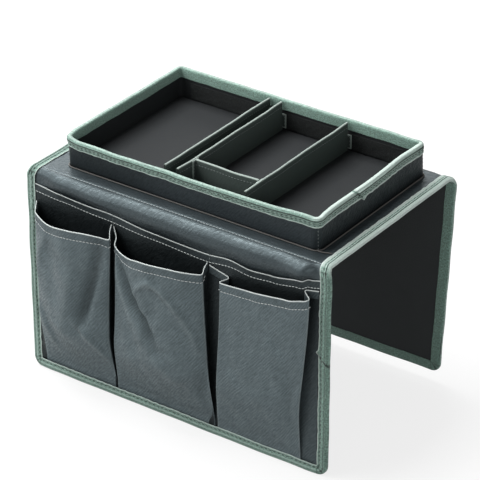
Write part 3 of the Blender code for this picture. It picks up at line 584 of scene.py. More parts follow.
# Geometry node trees
class NodeTree(Nodes):
    """A geometry node tree with named inputs, whose result becomes a plain mesh."""

    def __init__(self, name: str) -> None:
        """Starts a tree with a geometry input and output."""
        super().__init__(bpy.data.node_groups.new(name, 'GeometryNodeTree'), "")
        self.entry = self.tree.nodes.new("NodeGroupInput")
        self.exit = self.tree.nodes.new("NodeGroupOutput")
        for way in ('INPUT', 'OUTPUT'):
            self.tree.interface.new_socket("Geometry", in_out=way, socket_type='NodeSocketGeometry')

    def input(self, name: str, kind: str = 'NodeSocketFloat') -> Socket:
        """Adds a named input and returns its socket inside the tree."""
        self.tree.interface.new_socket(name, in_out='INPUT', socket_type=kind)
        return self.entry.outputs[name]

    def end(self, geometry: Socket, finish: Socket) -> None:
        """Ends the tree in Realize Instances and Set Material."""
        real = self.add("GeometryNodeRealizeInstances", {"Geometry": geometry}).outputs[0]
        smooth = self.add("GeometryNodeSetShadeSmooth", {"Geometry": real}).outputs[0]
        dressed = self.add("GeometryNodeSetMaterial", {"Geometry": smooth, "Material": finish})
        self.tree.links.new(dressed.outputs[0], self.exit.inputs[0])

    def grow(self, name: str, guide: bpy.types.Mesh, values: dict) -> Object:
        """Runs the tree on a guide mesh.

        Args:
            name: the new piece's name.
            guide: the mesh that the tree starts from.
            values: the tree's inputs, by name.

        Returns:
            A linked object with the result as a plain mesh and no modifier.
        """
        thing = bpy.data.objects.new(name, guide)
        bpy.context.scene.collection.objects.link(thing)
        modifier = thing.modifiers.new(self.tree.name, 'NODES')
        modifier.node_group = self.tree
        for item in self.tree.interface.items_tree:
            if item.item_type == 'SOCKET' and item.in_out == 'INPUT' and item.name in values:
                modifier[item.identifier] = values[item.name]
        depsgraph = bpy.context.evaluated_depsgraph_get()
        mesh = bpy.data.meshes.new_from_object(thing.evaluated_get(depsgraph))
        thing.modifiers.clear()
        thing.data = mesh
        bpy.data.meshes.remove(guide)
        return thing


def stitch_tree() -> NodeTree:
    """A row of stitches: rounded beads laid along a path, flat on the cloth."""
    tree = NodeTree("row of stitches")
    pitch, length = tree.input("Stitch pitch"), tree.input("Stitch length")
    width, height = tree.input("Thread width"), tree.input("Thread height")
    finish = tree.input("Thread finish", 'NodeSocketMaterial')
    curve = tree.add("GeometryNodeMeshToCurve", {"Mesh": tree.entry.outputs["Geometry"]}).outputs[0]
    inputs = {"Curve": curve, "Length": pitch}
    points = tree.add("GeometryNodeResampleCurve", inputs, mode='LENGTH').outputs[0]
    along = tree.add("GeometryNodeInputTangent").outputs[0]
    inputs = {"Name": "off_cloth"}
    named = tree.add("GeometryNodeInputNamedAttribute", inputs, data_type='FLOAT_VECTOR')
    turned = tree.add("FunctionNodeAlignRotationToVector", {"Vector": along}, axis='X').outputs[0]
    inputs = {"Rotation": turned, "Vector": named.outputs[0]}
    flat = tree.add("FunctionNodeAlignRotationToVector", inputs, axis='Z', pivot_axis='X')
    inputs = {0: (-0.12, -0.06, -0.12), 1: (0.12, 0.06, 0.12), "Seed": 7}
    jitter = tree.add("FunctionNodeRandomValue", inputs, data_type='FLOAT_VECTOR')
    inputs = {0: flat.outputs[0], 1: jitter.outputs[0]}
    shaken = tree.add("FunctionNodeRotateRotation", inputs, rotation_space='LOCAL')
    inputs = {"Segments": 6, "Rings": 5, "Radius": 0.5}
    bead = tree.add("GeometryNodeMeshUVSphere", inputs).outputs[0]
    size = tree.add("ShaderNodeCombineXYZ", {"X": length, "Y": width, "Z": height}).outputs[0]
    inputs = {"Points": points, "Instance": bead, "Rotation": shaken.outputs[0], "Scale": size}
    tree.end(tree.add("GeometryNodeInstanceOnPoints", inputs).outputs[0], finish)
    return tree


def piping_tree() -> NodeTree:
    """A round cord swept along a path."""
    tree = NodeTree("piping")
    width = tree.input("Cord diameter")
    finish = tree.input("Cord finish", 'NodeSocketMaterial')
    curve = tree.add("GeometryNodeMeshToCurve", {"Mesh": tree.entry.outputs["Geometry"]}).outputs[0]
    half = tree.add("ShaderNodeMath", {0: width, 1: 0.5}, operation='MULTIPLY').outputs[0]
    ring = tree.add("GeometryNodeCurvePrimitiveCircle", {"Resolution": 8, "Radius": half})
    inputs = {"Curve": curve, "Profile Curve": ring.outputs[0], "Fill Caps": True}
    tube = tree.add("GeometryNodeCurveToMesh", inputs)
    tree.end(tube.outputs[0], finish)
    return tree


def path_mesh(name: str, paths: list[tuple[Array, Array]], closed: bool = False) -> bpy.types.Mesh:
    """A mesh of loose polylines.

    Args:
        name: the mesh's name.
        paths: points and the directions off the cloth, both n by 3.
        closed: whether each path's end meets its start.

    Returns:
        The mesh, with the directions in its off_cloth attribute.
    """
    edges, start = [], 0
    for points, _ in paths:
        count = len(points)
        edges += [(start + i, start + i + 1) for i in range(count - 1)]
        edges += [(start + count - 1, start)] if closed else []
        start += count
    mesh = bpy.data.meshes.new(name)
    mesh.from_pydata(np.concatenate([p for p, _ in paths]).tolist(), edges, [])
    attribute = mesh.attributes.new("off_cloth", 'FLOAT_VECTOR', 'POINT')
    off = np.concatenate([d for _, d in paths]).astype(np.float32)
    attribute.data.foreach_set("vector", off.ravel())
    return mesh


class Seams:
    """Collects the runs of stitches and makes one piece of them for each body and thread."""

    def __init__(self) -> None:
        """Starts with no runs."""
        self.runs: dict[tuple[str, Thread], list[tuple[Array, Array]]] = {}

    def add(
        self, body: str, thread: Thread, points: Array, off: Array, lift: float = 0.0001
    ) -> None:
        """Adds one run.

        Args:
            body: the body that carries it, or a fold as "body>body".
            thread: its thread.
            points: the run's path on the cloth, n by 3.
            off: the directions off the cloth, n by 3.
            lift: how far the thread's middle stands off the cloth.
        """
        self.runs.setdefault((body, thread), []).append((points + lift * off, off))

    def sew(self, folds: dict[str, "Drape"]) -> None:
        """Makes the pieces; a run across a fold has its placement baked in and rides on no body."""
        tree = stitch_tree()
        for (body, thread), paths in self.runs.items():
            label, colour, pitch, length, width = thread.value
            name = body.replace(">", "_to_") + "_" + label
            finish = bpy.data.materials.get(label) or TwistedThread(label, colour).material()
            values = {
                "Stitch pitch": pitch,
                "Stitch length": length,
                "Thread width": width,
                "Thread height": width * (0.35 if thread is Thread.HOLE else 0.8),
                "Thread finish": finish,
            }
            thing = tree.grow(name, path_mesh(name, paths), values)
            if body in folds:
                folds[body].bend(thing)
            else:
                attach(thing, body)
            LOG.info("sewed %s: %d faces", name, len(thing.data.polygons))


@dataclass
class SewnPart:
    """What every sub-assembly works with: the finishes and the collector of stitches."""

    finishes: Finishes
    seams: Seams


# The panel, its folds and its tape
@dataclass(frozen=True)
class Panel:
    """Sizes that the saddle and its two flaps share, in metres."""

    top_z: float = 0.0045
    crease_y: float = 0.121
    bend: float = 0.010
    thickness: float = 0.0036
    saddle_half: float = 0.2055
    flap_half: float = 0.210
    tape_width: float = 0.0125
    stand_off: float = 0.0009
    tape_thickness: float = 0.0006
    corner: float = 0.012


PANEL = Panel()


@dataclass(frozen=True)
class Drape:
    """The outer face from one crease down over its fold to the flap's lower edge, as if laid flat.

    Places are x, s, the distance down from the crease, and h, the distance out of the face.
    """

    flap: str
    side: int
    turn: float
    length: float

    @property
    def fold(self) -> float:
        """Length of the fold's arc."""
        return PANEL.bend * self.turn

    @property
    def end(self) -> float:
        """Distance from the crease to the flap's lower edge."""
        return self.fold + self.length

    def at(self, x: Array, s: Array, h: Array | float = 0.0) -> Array:
        """Points in the frame."""
        x, s, h = np.broadcast_arrays(*(np.asarray(v, float) for v in (x, s, h)))
        theta = np.clip(s / PANEL.bend, 0.0, self.turn)
        radius = PANEL.bend + h
        past = s - PANEL.bend * theta
        y = self.side * (PANEL.crease_y + radius * np.sin(theta) + past * np.cos(theta))
        z = PANEL.top_z - PANEL.bend + radius * np.cos(theta) - past * np.sin(theta)
        return np.stack([x, y, z], -1)

    def off(self, s: Array) -> Array:
        """Unit directions out of the face."""
        theta = np.clip(np.asarray(s, float) / PANEL.bend, 0.0, self.turn)
        return np.stack([np.zeros_like(theta), self.side * np.sin(theta), np.cos(theta)], -1)

    def half(self, s: Array) -> Array:
        """Half the panel's length along x, which widens over the fold."""
        share = np.clip(np.asarray(s, float) / self.fold, 0.0, 1.0)
        return PANEL.saddle_half + (PANEL.flap_half - PANEL.saddle_half) * share

    def s_of_depth(self, depth: Array) -> Array:
        """Distance down from the crease of a place on the upright flap, by its depth."""
        return self.fold + np.asarray(depth, float) - PANEL.bend

    def bend(self, thing: Object) -> None:
        """Bakes a piece's placement into its mesh."""
        finish = self.at(np.array(0.0), np.array(self.fold))
        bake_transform(thing)


FRONT_DRAPE = Drape(FRONT, -1, math.pi / 2, 0.2570)
REAR_DRAPE = Drape(REAR, 1, math.pi / 2 + math.radians(4.6), 0.24316)
FRONT_FOLD, REAR_FOLD = ROOT + ">" + FRONT, ROOT + ">" + REAR
FOLDS = {FRONT_FOLD: FRONT_DRAPE, REAR_FOLD: REAR_DRAPE}


@dataclass
class TapePath:
    """The edge that a tape is folded over, station by station.

    Attributes:
        edge: the folded edge on the outer face.
        reach: from the edge to the outer leg's free edge.
        off: unit directions off the face.
        along: distance along the tape, always rising.
        seed: picks how uneven the tape lies.
        grooves: distances in from the edge at which thread or the cord under it draws the tape in.
        caught: how thick the cloth is that the tape holds besides the panel.
        closed: whether the tape's end meets its start.
        overlap: where its end lies over its start, or None.
        dark: painted shade of each station, in mitres and pinches.
        painted_brightness: painted light where above 0 and painted shade where below 0, station by
            station.
        painted_crest_highlight: how much painted highlight its folded edge carries.
        lines: how much painted shade lies in its grooves, the last one apart.
    """

    edge: Array
    reach: Array
    off: Array
    along: Array
    seed: int
    grooves: tuple[float, ...]
    body_thickness: float = PANEL.thickness
    caught: Array | float = 0.0
    closed: bool = False
    overlap: float | None = None
    dark: Array | float = 0.0
    painted_brightness: Array | float = 0.0
    painted_crest_highlight: float = 0.20
    lines: float = 1.1

    def calm(self) -> Array:
        """How freely each station may wander: not at all at the two ends."""
        run = self.along - self.along[0]
        return ease(np.minimum(run, run[-1] - run) / 0.010)


@dataclass(frozen=True)
class TapeCut:
    """How the tape is folded and how hand work shows in it, in metres."""

    crown: float = 0.0008
    rounding: float = 0.0024
    groove: float = 0.00042
    groove_width: float = 0.0008
    pucker: float = 0.00032
    pucker_pitch: float = 0.0060
    waver: float = 0.00038
    fray: float = 0.00020
    uneven: float = 0.00030
    lift: float = 0.0004
    inner_waver: float = 0.0002
    end_step: float = 0.0012
    end_fade: float = 0.035


TAPE_CUT = TapeCut()
OUTER_SHARES = (
    1.0, 0.97, 0.935, 0.90, 0.865, 0.83, 0.80, 0.77, 0.74, 0.705, 0.67, 0.63, 0.59, 0.55, 0.51,
    0.47, 0.43, 0.39, 0.355, 0.32, 0.285, 0.25, 0.215,
)
INNER_SHARES = (0.25, 0.40, 0.60, 0.784, 0.90, 1.0)


def outer_leg(path: TapePath, width: float) -> tuple[Array, Array]:
    """The outer leg's line at every station.

    Args:
        path: the edge.
        width: the shown width of the leg.

    Returns:
        Distances in from the edge and heights over the face, free edge first.
    """
    cut, calm, along = TAPE_CUT, path.calm(), path.along
    row = path.grooves[-1]
    level = np.broadcast_to(np.asarray(path.caught, float), along.shape) + PANEL.stand_off
    free = width + cut.fray * calm * ripple(along, 0.0, 0.024, path.seed)
    ins, ups = [], []
    for share in OUTER_SHARES:
        a = share * (width + (free - width) * step((share - 0.6) / 0.4))
        b = level + cut.crown * np.sin(math.pi * np.clip(a / row, 0.0, 1.0)) ** 0.8
        for place in path.grooves:
            b = b - cut.groove * bell(a - place, cut.groove_width)
        beat = np.cos(math.tau * along / cut.pucker_pitch)
        b = b + cut.pucker * calm * bell(a - row, 0.0022) * beat
        uneven = cut.uneven * calm * ripple(along, a, 0.010, path.seed + 1)
        b = b + uneven * step((share - 0.25) / 0.2)
        lift = np.clip(ripple(along, 0.0, 0.017, path.seed + 3), 0.0, 1.0)
        b = b + cut.lift * calm * lift * ease((a - row) / (width - row))
        ins.append(a)
        ups.append(b)
    return np.stack(ins, 1), np.stack(ups, 1)


def tape_section(path: TapePath, width: float) -> tuple[Array, Array]:
    """The folded tape's line at every station, from one leg's free edge to the other's."""
    r, count = TAPE_CUT.rounding, len(path.edge)
    outer_a, outer_b = outer_leg(path, width)
    if path.overlap is not None:
        outer_a, outer_b = overlapped(path, outer_a, outer_b, width)
    high = np.broadcast_to(np.asarray(path.caught, float), (count,)) + PANEL.stand_off
    low = -path.body_thickness - PANEL.stand_off
    ins, ups = [], []
    for angle in np.radians((80.0, 60.0, 40.0, 20.0, 0.0)):
        ins.append(np.full(count, r * (1.0 - math.cos(angle))))
        ups.append(high - r * (1.0 - math.sin(angle)))
    for angle in np.radians((0.0, 25.0, 50.0, 75.0)):
        ins.append(np.full(count, r * (1.0 - math.cos(angle))))
        ups.append(np.full(count, low + r * (1.0 - math.sin(angle))))
    for share in INNER_SHARES:
        ins.append(np.full(count, share * width))
        waves = 1.0 + ripple(path.along, 0.0, 0.02, path.seed + 4)
        ups.append(low - TAPE_CUT.inner_waver * path.calm() * waves * share)
    ins, ups = np.stack(ins, 1), np.stack(ups, 1)
    return np.concatenate([outer_a, ins], 1), np.concatenate([outer_b, ups], 1)


def slant_of(path: TapePath, a: Array, width: float) -> Array:
    """How far each point lies past the slanting cut of the tape's end."""
    return path.along[:, None] - (path.overlap - 0.9 * (width - a))


def overlapped(path: TapePath, a: Array, b: Array, width: float) -> tuple[Array, Array]:
    """Lays the tape's end over its start along a slanting cut; its tip sticks out a little."""
    past = slant_of(path, a, width)
    fade = np.exp(-np.clip(past, 0.0, None) / TAPE_CUT.end_fade)
    b = b + ease(past / TAPE_CUT.end_step) * TAPE_CUT.end_step * fade
    near_tip = bell(path.along - path.overlap - 0.0028, 0.0026)[:, None]
    tip = near_tip * np.clip(a / width - 0.7, 0.0, 0.3) / 0.3
    return a + 0.0034 * tip, b


def tape_shade(path: TapePath, a: Array, width: float) -> Array:
    """Painted shade in the tape's grooves, pinches and lapped end; painted light on its ridge, crest
    and by station.
    """
    painted_brightness = np.broadcast_to(np.asarray(path.painted_brightness, float), path.along.shape)
    # Painted highlight on the ridge between the grooves and on the folded edge, plus each station's
    # painted brightness.
    shade = 0.22 * bell(a - 0.0062, 0.0013) + path.painted_crest_highlight * bell(a, 0.0007) + painted_brightness[:, None]
    lines = np.zeros_like(a)
    for place in path.grooves:
        weight = 0.85 if place == path.grooves[-1] else path.lines
        lines = lines + weight * bell(a - place, 0.0008)
    shade = shade * (1.0 - np.clip(lines, 0.0, 1.0)) - lines
    # Painted shadow along the slanting cut where the tape's end laps over its start.
    if path.overlap is not None:
        shade = shade - 0.95 * bell(slant_of(path, a, width) + 0.0009, 0.0017)
    # Painted shade of the mitres and pinches, on the outer leg away from the folded edge.
    dark = np.broadcast_to(np.asarray(path.dark, float), path.along.shape)
    return shade - dark[:, None] * ease((a - 0.0015) / 0.002)


def make_tape(
    name: str, path: TapePath, finish: Material, width: float = PANEL.tape_width
) -> tuple[Object, Array]:
    """Folds a tape over an edge.

    Args:
        name: the piece's name.
        path: the edge.
        finish: its material.
        width: the shown width of each leg.

    Returns:
        The piece, and the outer leg's points, station by station.
    """
    a, b = tape_section(path, width)
    waver = TAPE_CUT.waver * path.calm() * ripple(path.along, 0.0, 0.06, path.seed + 2)
    toward = path.reach / np.linalg.norm(path.reach, axis=1, keepdims=True)
    edge = path.edge - toward * waver[:, None]
    face = edge[:, None] + path.reach[:, None] / width * a[..., None]
    face = face + path.off[:, None] * b[..., None]
    column = np.arange(a.shape[1])
    mark = np.where(column < len(OUTER_SHARES), np.abs(a[:, :1] - a), REACH_OF_MARK)
    # Past the outer leg and its rounding, the tape carries only the painted shade of its pinches.
    dark = np.broadcast_to(np.asarray(path.dark, float), path.along.shape)[:, None]
    shade = np.where(column < len(OUTER_SHARES) + 7, tape_shade(path, a, width), -dark)
    down = np.concatenate([[0.0], np.cumsum(np.abs(np.diff(a, axis=1)).mean(0))])
    uv = np.stack(np.broadcast_arrays(path.along[:, None], down[None]), 2)
    if path.closed:
        face, uv, mark, shade = (v.swapaxes(0, 1) for v in (face, uv, mark, shade))
    normal = grid_normals(face, path.closed)
    middle = face.mean(1 if not path.closed else 0, keepdims=True)
    outward = np.sign(np.einsum("ijk,ijk->ij", normal, face - middle).mean())
    back = face - outward * PANEL.tape_thickness * normal
    thing = closed_sheet(name, face, back, uv, mark, shade, wrap=path.closed)
    leg = face[: len(OUTER_SHARES)].swapaxes(0, 1) if path.closed else face[:, : len(OUTER_SHARES)]
    return dress(thing, finish), leg


def sew_tape(
    seams: Seams, body: str, path: TapePath, leg: Array, width: float = PANEL.tape_width
) -> None:
    """Adds the stitches in a tape's outermost groove, and a needle hole between every two."""
    rows = path.grooves[-2:] if len(path.grooves) > 2 else path.grooves[-1:]
    for place in rows:
        column = int(np.argmin([abs(share * width - place) for share in OUTER_SHARES]))
        line, off = leg[:, column], path.off
        if path.closed:
            line, off = np.concatenate([line, line[:1]]), np.concatenate([off, off[:1]])
        seams.add(body, Thread.TAPE, line, off, 0.0002)
        # Dark beads in the needle holes, painted shade.
        seams.add(body, Thread.HOLE, line[2:], off[2:], 0.00005)


@dataclass
class Bindings(SewnPart):
    """The tapes of the saddle's ends, the folds' ends and the two flaps.

    Attributes:
        grooves: the two grooves of the saddle's and the folds' tape, in from the edge.
        flap_grooves: the same of the flaps' tape.
        caught: thickness of the cloth that the front flap's tape holds at its sides.
        foot_caught: the same at the foot, where the pockets are sewn in.
        overlap_depth: depth below the saddle's top at which the tape's end laps over its start.
        painted_lighting: painted light on the tape at the left and at the right end.
    """

    grooves: Pair = (0.0045, 0.0075)
    flap_grooves: Pair = (0.0041, 0.0090)
    caught: float = 0.0009
    foot_caught: float = 0.0030
    overlap_depth: float = 0.1095
    painted_lighting: Pair = (0.05, 0.62)

    def saddle_ends(self) -> None:
        """The tape on the saddle's two ends."""
        for side, label, seed in ((-1, "left", 11), (1, "right", 31)):
            y = np.linspace(-PANEL.crease_y, PANEL.crease_y, 130)
            x = np.full_like(y, side * PANEL.saddle_half)
            edge = np.stack([x, y, np.full_like(y, PANEL.top_z)], 1)
            reach = np.tile([-side * PANEL.tape_width, 0.0, 0.0], (len(y), 1))
            off = np.tile([0.0, 0.0, 1.0], (len(y), 1))
            # Painted light: the right end's tape much lighter, the left end's a little.
            painted_brightness = self.painted_lighting[side > 0]
            path = TapePath(edge, reach, off, y + PANEL.crease_y, seed, self.grooves, painted_brightness=painted_brightness)
            thing, leg = make_tape(f"top_tape_{label}", path, self.finishes.tape)
            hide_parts(f"top_binding_{label}")
            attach(thing, ROOT)
            sew_tape(self.seams, ROOT, path, leg)

    def fold_ends(self, drape: Drape, label: str) -> None:
        """The tape on the two ends of one fold."""
        for side, end, seed in ((-1, "left", 11), (1, "right", 31)):
            s = np.linspace(0.0, drape.fold, 29)
            half = drape.half(s)
            edge = drape.at(side * half, s)
            reach = np.tile([-side * PANEL.tape_width, 0.0, 0.0], (len(s), 1))
            off = drape.off(s)
            caught = self.caught * ease(s / drape.fold) if drape.side < 0 else 0.0
            # Painted shade in the pinches where the tape turns over the fold.
            pinch = 0.8 * bell(s - 0.0115, 0.0009) + 0.45 * bell(s - 0.0070, 0.0008)
            if drape.side > 0:
                pinch = pinch + 0.8 * bell(s - 0.0040, 0.0012)
            # Painted light from the saddle's end, fading out down the fold.
            painted_brightness = self.painted_lighting[side > 0] * (1.0 - ease(s / drape.fold))
            path = TapePath(edge, reach, off, s, seed, self.grooves, caught=caught)
            path.dark, path.painted_brightness = pinch, painted_brightness
            thing, leg = make_tape(f"{label}_fold_tape_{end}", path, self.finishes.tape)
            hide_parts(f"{label}_fold_binding_{end}")
            drape.bend(thing)
            sew_tape(self.seams, FRONT_FOLD if drape.side < 0 else REAR_FOLD, path, leg)

    def flap(self, drape: Drape, label: str) -> None:
        """The tape round the two sides and the lower edge of one flap."""
        path, corners = self.flap_edge(drape)
        # Painted shade in the pinched mitres at the two lower corners.
        pinches = ((-0.0085, 0.45), (0.0, 0.9), (0.0060, 0.55))
        places = [(corner + place, weight) for corner in corners for place, weight in pinches]
        path.dark = sum(weight * bell(path.along - place, 0.0013) for place, weight in places)
        path.lines = 0.45
        # Painted shade: on the front flap, the right side's tape darker from its lower corner up.
        if drape.side < 0:
            path.painted_brightness = -0.20 * ease((path.along - corners[1]) / 0.02)
        thing, leg = make_tape(f"{label}_tape", path, self.finishes.tape)
        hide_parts(f"{label}_binding")
        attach(thing, drape.flap)
        sew_tape(self.seams, drape.flap, path, leg)

    def flap_edge(self, drape: Drape) -> tuple[TapePath, Pair]:
        """The edge of one flap, down its left side, round the foot and up its right side.

        Returns:
            The path, and the distances along it of the two mitred corners.
        """
        half, low, r, w = PANEL.flap_half, drape.end, PANEL.corner, PANEL.tape_width
        side = np.linspace(drape.fold, low - r, 170)
        turn = np.linspace(0.0, math.pi / 2, 16)[1:-1]
        foot = np.linspace(-half + r, half - r, 270)
        x = [np.full_like(side, -half), -half + r - r * np.cos(turn), foot]
        s = [side, low - r + r * np.sin(turn), np.full_like(foot, low)]
        x += [half - r + r * np.sin(turn), np.full_like(side, half)]
        s += [low - r + r * np.cos(turn), side[::-1]]
        kinds = np.repeat(np.arange(5), [len(v) for v in x])
        x, s = np.concatenate(x), np.concatenate(s)
        inner_x = np.select([kinds == 2, kinds < 2], [x, np.full_like(x, w - half)], half - w)
        inner_s = np.where((kinds == 0) | (kinds == 4), s, low - w)
        edge = drape.at(x, s)
        steps = np.linalg.norm(np.diff(edge, axis=0), axis=1)
        run = np.concatenate([[0.0], np.cumsum(steps)])
        caught, overlap = 0.0, None
        if drape.side < 0:
            caught = np.where(kinds == 2, self.foot_caught, self.caught)
            caught = np.convolve(np.pad(caught, 10, mode="edge"), np.ones(21) / 21, "valid")
            overlap = run[-1] - (drape.s_of_depth(self.overlap_depth) - drape.fold)
        reach = drape.at(inner_x, inner_s) - edge
        path = TapePath(edge, reach, drape.off(s), run, 51, self.flap_grooves, caught=caught)
        path.overlap = overlap
        return path, (float(run[kinds == 1].mean()), float(run[kinds == 3].mean()))


@dataclass
class Covers(SewnPart):
    """The leatherette of the saddle, the folds and the flaps, and the linings behind it.

    Attributes:
        cloth: thickness of the saddle's and the folds' cover.
        flap_cloth: thickness of the flaps' cover.
        lining: thickness of the linings.
        saddle_lining: how far the saddle's padded lining reaches up.
        lining_cut: length to which a fold's lining is cut; not used.
        seam: distance of the shoulder's seam from the crease.
        seam_depth: how far its thread draws the cover in.
        puff: where the swell over a shoulder starts, and where it ends on the rear flap.
        puff_heights: the tallest swell of the front and rear shoulder.
    """

    cloth: float = 0.0008
    flap_cloth: float = 0.0006
    lining: float = 0.0006
    saddle_lining: float = 0.0015
    lining_cut: float = 0.0105
    seam: float = 0.0025
    seam_depth: float = 0.0003
    puff: Pair = (0.0028, 0.040)
    puff_heights: Pair = (0.0070, 0.0018)

    def saddle(self) -> None:
        """The saddle's cover, a little pillowed between its seams, and its padded lining."""
        half = PANEL.saddle_half - PANEL.stand_off
        crease = PANEL.crease_y
        x, y = np.meshgrid(np.linspace(-half, half, 160), np.linspace(-crease, crease, 100))
        lift = 0.00025 * ripple(x, y, 0.05, 3) * np.clip((crease - np.abs(y)) / 0.01, 0.0, 1.0)
        face = np.stack([x, y, PANEL.top_z + lift * 0.6], 2)
        cover = sheet_over("saddle_cover", face, self.cloth, face[..., :2])
        settle(cover, self.finishes.saddle, "top_cover", ROOT)
        pad = PANEL.saddle_half - PANEL.tape_width - 0.0003
        under = np.where(np.abs(x) < pad, 0.0, PANEL.stand_off)
        low = np.stack([x, y, under], 2)
        high = np.stack([x, y, np.full_like(x, self.saddle_lining)], 2)
        lining = closed_sheet("saddle_lining", low, high, face[..., :2])
        settle(lining, self.finishes.lining, "top_lining", ROOT)

    def fold(self, drape: Drape, label: str) -> None:
        """The cover and the lining that cross one fold."""
        s_line = np.linspace(0.0, drape.fold, 27)
        share = np.linspace(-1.0, 1.0, 160)
        u, s = np.meshgrid(share, s_line)
        x = u * (drape.half(s) - PANEL.stand_off)
        uv = np.stack([x, drape.side * (PANEL.crease_y + s)], 2)
        groove = -self.seam_depth * bell(s - self.seam, 0.0012) + self.swelling(drape, x, s)
        face = drape.at(x, s, groove)
        cover = sheet_over(f"{label}_shoulder_cover", face, self.cloth, uv, -drape.side)
        dress(cover, self.finishes.saddle)
        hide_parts(f"{label}_fold_cover")
        drape.bend(cover)
        inner = drape.at(x, s, -PANEL.thickness)
        outer = drape.at(x, s, -PANEL.thickness + self.lining)
        lining = closed_sheet(f"{label}_shoulder_lining", inner, outer, uv)
        dress(lining, self.finishes.lining)
        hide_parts(f"{label}_fold_lining")
        drape.bend(lining)
        self.crease_stitches(drape)

    def swelling(self, drape: Drape, x: Array, s: Array) -> Array:
        """How far the cover stands out between its seam at the crease and what is sewn on below.

        Args:
            drape: the fold and its flap.
            x: places along the arm.
            s: distances down from the crease.

        Returns:
            The height over the flat-lying cloth, the largest a little below the fold.
        """
        start, tall = self.puff[0], self.puff_heights[drape.side > 0]
        finish = np.full(x.shape, self.puff[1])
        if drape.side < 0:
            finish = drape.s_of_depth(table_value(SlipPocket.edge_depths, x)) + 0.0005
        share = np.clip((s - start) / (finish - start), 0.0, 1.0) ** 1.05
        reach = PANEL.saddle_half - PANEL.tape_width
        ends = ease((reach + x) / 0.030) * ease((reach - x) / 0.014)
        length = (np.clip(finish - start, 0.0, 0.034) / 0.034) ** 0.6
        uneven = 1.0 + 0.22 * ripple(x, 0.6 * s, 0.085, 31)
        uneven = uneven + 0.65 * bell(x - 0.180, 0.018) - 0.35 * bell(x - 0.148, 0.018)
        return tall * length * uneven * ends * np.sin(math.pi * share) ** 1.35

    def crease_stitches(self, drape: Drape) -> None:
        """The seam that runs along the shoulder, just past the crease."""
        reach = PANEL.saddle_half - PANEL.tape_width
        x = np.linspace(-reach, reach, 200)
        s = np.full_like(x, self.seam)
        thread = Thread.CREASE if drape.side < 0 else Thread.DARK
        fold = FRONT_FOLD if drape.side < 0 else REAR_FOLD
        self.seams.add(fold, thread, drape.at(x, s, -self.seam_depth), drape.off(s))

    def flap(self, drape: Drape, label: str) -> None:
        """The cover and the lining of one flap."""
        half = PANEL.flap_half - PANEL.stand_off
        low = drape.end - PANEL.stand_off
        s_line = drape.fold + (low - drape.fold) * np.linspace(0.0, 1.0, 120) ** 1.5
        u, s = np.meshgrid(np.linspace(-1.0, 1.0, 160), s_line)
        r = PANEL.corner - PANEL.stand_off
        into = np.clip(s - (low - r), 0.0, r)
        x = u * (half - r + np.sqrt(r * r - into * into))
        uv = np.stack([x, drape.side * (PANEL.crease_y + s)], 2)
        fade = np.clip((s - drape.fold) / 0.01, 0.0, 1.0) * np.clip((low - s) / 0.01, 0.0, 1.0)
        swell = 0.0002 * ripple(x, s, 0.06, 5) * fade - 0.0002 * fade
        swell = swell + self.swelling(drape, x, s)
        face = drape.at(x, s, swell)
        cover = sheet_over(f"{label}_outer_cover", face, self.flap_cloth, uv, -drape.side)
        settle(cover, self.finishes.saddle, f"{label}_cover", drape.flap)
        flat = (2 * half, low - drape.fold)
        wave = -0.0003 * fade * (1.0 + ripple(x, s, 0.05, 8)) * (1.0 if drape.side > 0 else 0.4)
        inner = drape.at(x, s, -PANEL.thickness + wave)
        outer = drape.at(x, s, -PANEL.thickness + self.lining)
        lining = closed_sheet(f"{label}_inner_lining", inner, outer, uv)
        settle(lining, self.finishes.flap_lining, f"{label}_lining", drape.flap)


# Pockets
Crease = tuple[Pair, Pair, float, float]
Crumple = tuple[Table, float, float]


@dataclass(frozen=True)
class PocketCut:
    """One pleated pocket between its two seams, in metres and in shares of its width and height.

    Attributes:
        seams: x of the two seams.
        mouth: the face's two edges at the mouth, as shares of the width.
        foot: the same at the foot.
        stand: how far the two edges stand off at the mouth.
        swell: how far the face's middle stands out past its edges.
        seam_depths: depth of the mouth below the saddle's top at the two seams.
        mouth_depths: the same at places across the face.
        creases: start, end, depth and width of each soft crease.
        crumples: line, height and width of each sharper fold; a negative height is a valley.
        tuck_in: how far each gusset folds inwards at the mouth.
        lap: how far each side stands up at the foot, where it lies over the next pocket's cloth.
        waist: how far each side wanders halfway up, as a share of the width.
        pleats: the gussets' inner folds at mouth and foot, or None.
    """

    name: str
    seams: Pair
    mouth: Pair
    foot: Pair
    stand: Pair
    swell: float
    seam_depths: Pair
    mouth_depths: Table
    creases: tuple[Crease, ...]
    crumples: tuple[Crumple, ...] = ()
    tuck_in: Pair = (0.0, 0.0015)
    lap: Pair = (0.0, 0.0)
    waist: Pair = (0.0, 0.0)
    pleats: tuple[Pair, Pair] | None = None
    seed: int = 1


@dataclass(frozen=True)
class PocketMake:
    """Sizes that the three pockets share, in metres."""

    cloth: float = 0.0008
    seat: float = 0.0004 + 0.0003
    hem: float = 0.0108
    swell_height: float = 0.075
    pleat_pitch: float = 0.0012
    tuck: float = 0.0040
    foot_depth: float = 0.2542
    mouth_depth: float = 0.052
    slip_stand: float = 0.0009


